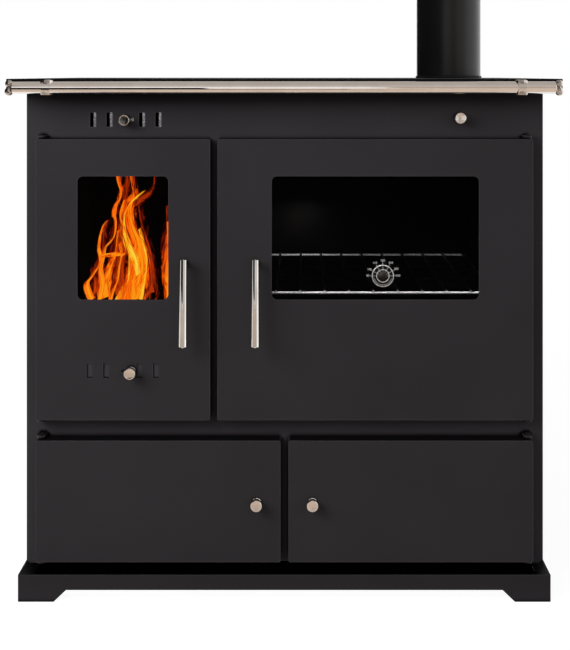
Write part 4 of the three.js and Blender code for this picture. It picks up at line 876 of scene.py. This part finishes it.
def flame_material(kind, seed):
    """Glowing gas: hottest along its middle, thin at its edges, streaked along its length."""
    colours, solidity = FLAME_KINDS[kind]
    made, tree, output = bare_material("flame")
    mix = tree.nodes.new("ShaderNodeMixShader")
    clear = tree.nodes.new("ShaderNodeBsdfTransparent")
    glow = tree.nodes.new("ShaderNodeEmission")
    uv = tree.nodes.new("ShaderNodeUVMap")
    uv.uv_map = "along"
    split = tree.nodes.new("ShaderNodeSeparateXYZ")
    tree.links.new(uv.outputs["UV"], split.inputs["Vector"])

    mapping = tree.nodes.new("ShaderNodeMapping")
    mapping.inputs["Scale"].default_value = (4.2, 3.4, 1.0)
    mapping.inputs["Location"].default_value = (seed * 3.7, seed * 1.9, seed)
    tree.links.new(uv.outputs["UV"], mapping.inputs["Vector"])
    streak = tree.nodes.new("ShaderNodeTexNoise")
    streak.inputs["Scale"].default_value = 1.4
    streak.inputs["Detail"].default_value = 6.0
    streak.inputs["Distortion"].default_value = 2.0
    tree.links.new(mapping.outputs["Vector"], streak.inputs["Vector"])

    centred = maths(tree, "ABSOLUTE", mapped(tree, split.outputs["X"], 0.0, 1.0, -1.0, 1.0))
    core = maths(tree, "SUBTRACT", 1.0, centred)
    cooling = maths(tree, "MULTIPLY", split.outputs["Y"], 0.22)
    wisp = mapped(tree, streak.outputs["Fac"], 0.25, 0.75, -0.62, 0.55)
    heat = maths(tree, "SUBTRACT", maths(tree, "ADD", core, wisp), cooling)
    tree.links.new(ramp(tree, heat, list(zip(HEAT_STOPS, colours))), glow.inputs["Color"])
    glow.inputs["Strength"].default_value = FLAME_STRENGTH
    tree.links.new(mapped(tree, heat, 0.02, 0.5, 0.0, solidity), mix.inputs["Fac"])
    tree.links.new(clear.outputs["BSDF"], mix.inputs[1])
    tree.links.new(glow.outputs["Emission"], mix.inputs[2])
    tree.links.new(mix.outputs["Shader"], output.inputs["Surface"])
    return made


for tongue_index, (tongue_kind, tongue_depth, tongue_points) in enumerate(TONGUES):
    tongue_material = flame_material(tongue_kind, tongue_index + 1)
    make_tongue(tongue_index, tongue_depth, tongue_points, tongue_material)


# Stage ----------------------------------------------------------------------------------------

def flat_piece(name, corners):
    """A new object with one face."""
    mesh = bpy.data.meshes.new(name)
    mesh.from_pydata(corners, [], [(0, 1, 2, 3)])
    return linked(name, mesh)


def make_plane(name, left, right, near, far, height, albedo, glow):
    """A level stage plane with a glow of its own, seen directly and in reflections."""
    plane = flat_piece(name, [
        (left, near, height), (right, near, height), (right, far, height), (left, far, height),
    ])
    made, tree, shader = new_material(name)
    colour = mottled(tree, noise(tree, 2.0), grey(0.95 * albedo), grey(albedo))
    tree.links.new(colour, shader.inputs["Base Color"])
    shader.inputs["Roughness"].default_value = 0.9
    shader.inputs["Specular IOR Level"].default_value = 0.0
    shader.inputs["Emission Color"].default_value = (1.0, 1.0, 1.0, 1.0)
    shader.inputs["Emission Strength"].default_value = glow
    plane.data.materials.append(made)
    plane.visible_diffuse = False


def make_floor():
    """A pale, evenly lit floor that meets a pale sky, and a black sheet under the stove's casing as
    painted shadow.
    """
    make_plane("floor", -30.0, 30.0, -30.0, 30.0, 0.0, 0.24, 0.92)
    # A black sheet where the floor under the casing would lie in shadow: painted shadow.
    make_plane("shade", -0.43, 0.43, FRONT + 0.02, 0.30, 0.0005, 0.004, 0.0)


def make_sky():
    """A white sky to look at, and one for light, which comes from the front and from low down."""
    world = bpy.data.worlds.new("sky")
    world.use_nodes = True
    tree = world.node_tree
    tree.nodes.clear()
    output = tree.nodes.new("ShaderNodeOutputWorld")
    seen = tree.nodes.new("ShaderNodeBackground")
    light = tree.nodes.new("ShaderNodeBackground")
    path = tree.nodes.new("ShaderNodeLightPath")
    mix = tree.nodes.new("ShaderNodeMixShader")
    coordinates = tree.nodes.new("ShaderNodeTexCoord")
    direction = tree.nodes.new("ShaderNodeSeparateXYZ")
    tree.links.new(coordinates.outputs["Generated"], direction.inputs["Vector"])
    height = mapped(tree, direction.outputs["Z"], -1.0, 1.0, 0.0, 1.0)
    by_height = ramp(tree, height, [
        (0.0, grey(0.0)),
        (0.5, grey(0.0)),
        (0.56, grey(0.8)),
        (0.70, grey(1.0)),
        (0.82, grey(0.4)),
        (0.92, grey(0.05)),
    ])
    rear_strength = REAR_SKY_SHARE * SKY_STRENGTH
    by_depth = mapped(tree, direction.outputs["Y"], -1.0, 1.0, SKY_STRENGTH, rear_strength)
    tree.links.new(scaled(tree, by_height, by_depth), light.inputs["Color"])
    tree.links.new(path.outputs["Is Camera Ray"], mix.inputs["Fac"])
    tree.links.new(light.outputs["Background"], mix.inputs[1])
    tree.links.new(seen.outputs["Background"], mix.inputs[2])
    tree.links.new(mix.outputs["Shader"], output.inputs["Surface"])
    seen.inputs["Color"].default_value = (1.0, 1.0, 1.0, 1.0)
    bpy.context.scene.world = world


def seen_in_gloss_only(obj):
    """Shows a studio card in reflections only."""
    obj.visible_camera = False
    obj.visible_diffuse = False
    obj.visible_transmission = False
    obj.visible_volume_scatter = False
    obj.visible_shadow = False


def studio_card(name, corners, colour, strength=1.0):
    """A flat card of even brightness that only reflections show."""
    card = flat_piece(name, corners)
    made, _, glow = glowing_material(name)
    glow.inputs["Color"].default_value = (*colour, 1.0)
    glow.inputs["Strength"].default_value = strength
    card.data.materials.append(made)
    seen_in_gloss_only(card)


DOME_RADIUS = 6.0


def make_dome():
    """The studio that polished metal reflects: grey above, bright at eye level, darker below."""
    bpy.ops.mesh.primitive_uv_sphere_add(
        segments=64, ring_count=32, radius=DOME_RADIUS, location=(0.0, 0.0, 0.5))
    dome = bpy.context.object
    dome.name = "studio_dome"
    made, tree, glow = glowing_material("studio_dome")
    coordinates = tree.nodes.new("ShaderNodeTexCoord")
    split = tree.nodes.new("ShaderNodeSeparateXYZ")
    tree.links.new(coordinates.outputs["Object"], split.inputs["Vector"])
    height = mapped(tree, split.outputs["Z"], -DOME_RADIUS, DOME_RADIUS, 0.0, 1.0)
    colours = ramp(tree, height, [
        (0.0, (0.5, 0.45, 0.4)),
        (0.42, (0.75, 0.72, 0.70)),
        (0.50, grey(0.85)),
        (0.59, grey(1.1)),
        (0.66, (0.60, 0.55, 0.51)),
        (1.0, (0.46, 0.43, 0.40)),
    ])
    tree.links.new(colours, glow.inputs["Color"])
    glow.inputs["Strength"].default_value = 1.0
    dome.data.materials.append(made)
    seen_in_gloss_only(dome)


def upright_card(name, distance, left, right, low, high, colour):
    """A card facing the stove, at a distance before its front."""
    y = FRONT - distance
    corners = [(left, y, low), (right, y, low), (right, y, high), (left, y, high)]
    studio_card(name, corners, colour)


def level_card(name, near, far, left, right, height, colour):
    """A card lying before the stove, between two distances from its front."""
    studio_card(name, [
        (left, FRONT - far, height), (right, FRONT - far, height),
        (right, FRONT - near, height), (left, FRONT - near, height),
    ], colour)


def make_cards():
    """Cards around the stove that give the metal its dark stripes and its warm underside."""
    y = FRONT - 0.6
    studio_card("handle_flag", [
        (-1.6, y, 0.46), (-0.17, y, 0.49), (-0.17, y, 0.80), (-1.6, y, 0.80),
    ], (0.01, 0.008, 0.006))
    studio_card("handle_warmth", [
        (-1.2, y, 0.15), (0.3, y, 0.15), (0.3, y, 0.49), (-1.2, y, 0.46),
    ], (0.58, 0.49, 0.41))
    upright_card("beige_card", 2.2, 0.32, 1.3, 0.2, 1.5, (0.52, 0.44, 0.38))
    level_card("warm_floor", 0.09, 2.6, -2.4, 2.0, 0.003, (0.72, 0.58, 0.48))
    level_card("dark_strip", 1.0, 1.6, -0.72, 0.17, 0.006, (0.03, 0.012, 0.008))
    x = -1.1
    studio_card("pipe_flag", [
        (x, -2.6, 0.6), (x, 5.5, 0.6), (x, 5.5, 2.4), (x, -2.6, 2.4),
    ], grey(0.01))
    studio_card("right_softbox", [
        (2.4, -1.2, 0.0), (1.6, 3.0, 0.0), (1.6, 3.0, 3.0), (2.4, -1.2, 3.0),
    ], grey(1.0), 1.7)


def area_light(name, place, aim, width, depth, power):
    """A soft light of a size in metres and a power in watts, at a place, aimed at a point."""
    data = bpy.data.lights.new(name, "AREA")
    data.shape = "RECTANGLE"
    data.size = width
    data.size_y = depth
    data.energy = power
    light = linked(name, data)
    light.location = place
    light.rotation_euler = (Vector(aim) - Vector(place)).to_track_quat("-Z", "Y").to_euler()
    light.visible_camera = False
    light.visible_glossy = False


def make_camera():
    """A level camera square to the front, shifted down as a view camera is."""
    data = bpy.data.cameras.new("camera")
    data.lens = LENS
    data.sensor_width = 36.0
    data.shift_x = SHIFT_X
    data.shift_y = SHIFT_Y
    camera = linked("camera", data)
    camera.location = (CAMERA_X, FRONT - CAMERA_DISTANCE, CAMERA_HEIGHT)
    camera.rotation_euler = (math.radians(90), 0.0, 0.0)
    bpy.context.scene.camera = camera


make_floor()
make_sky()
make_dome()
make_cards()
area_light("key", (-1.5, FRONT - 1.25, 1.6), (-0.2, FRONT, 0.55), 1.5, 1.2, KEY_POWER)
area_light("oven_lamp_front", (0.15, -0.205, 0.62), (0.15, -0.215, 0.49), 0.42, 0.03, 1.4)
area_light("oven_lamp_rear", (0.03, 0.14, 0.58), (0.03, 0.18, 0.49), 0.05, 0.05, 0.12)
make_camera()
bpy.context.scene.view_settings.view_transform = "Standard"
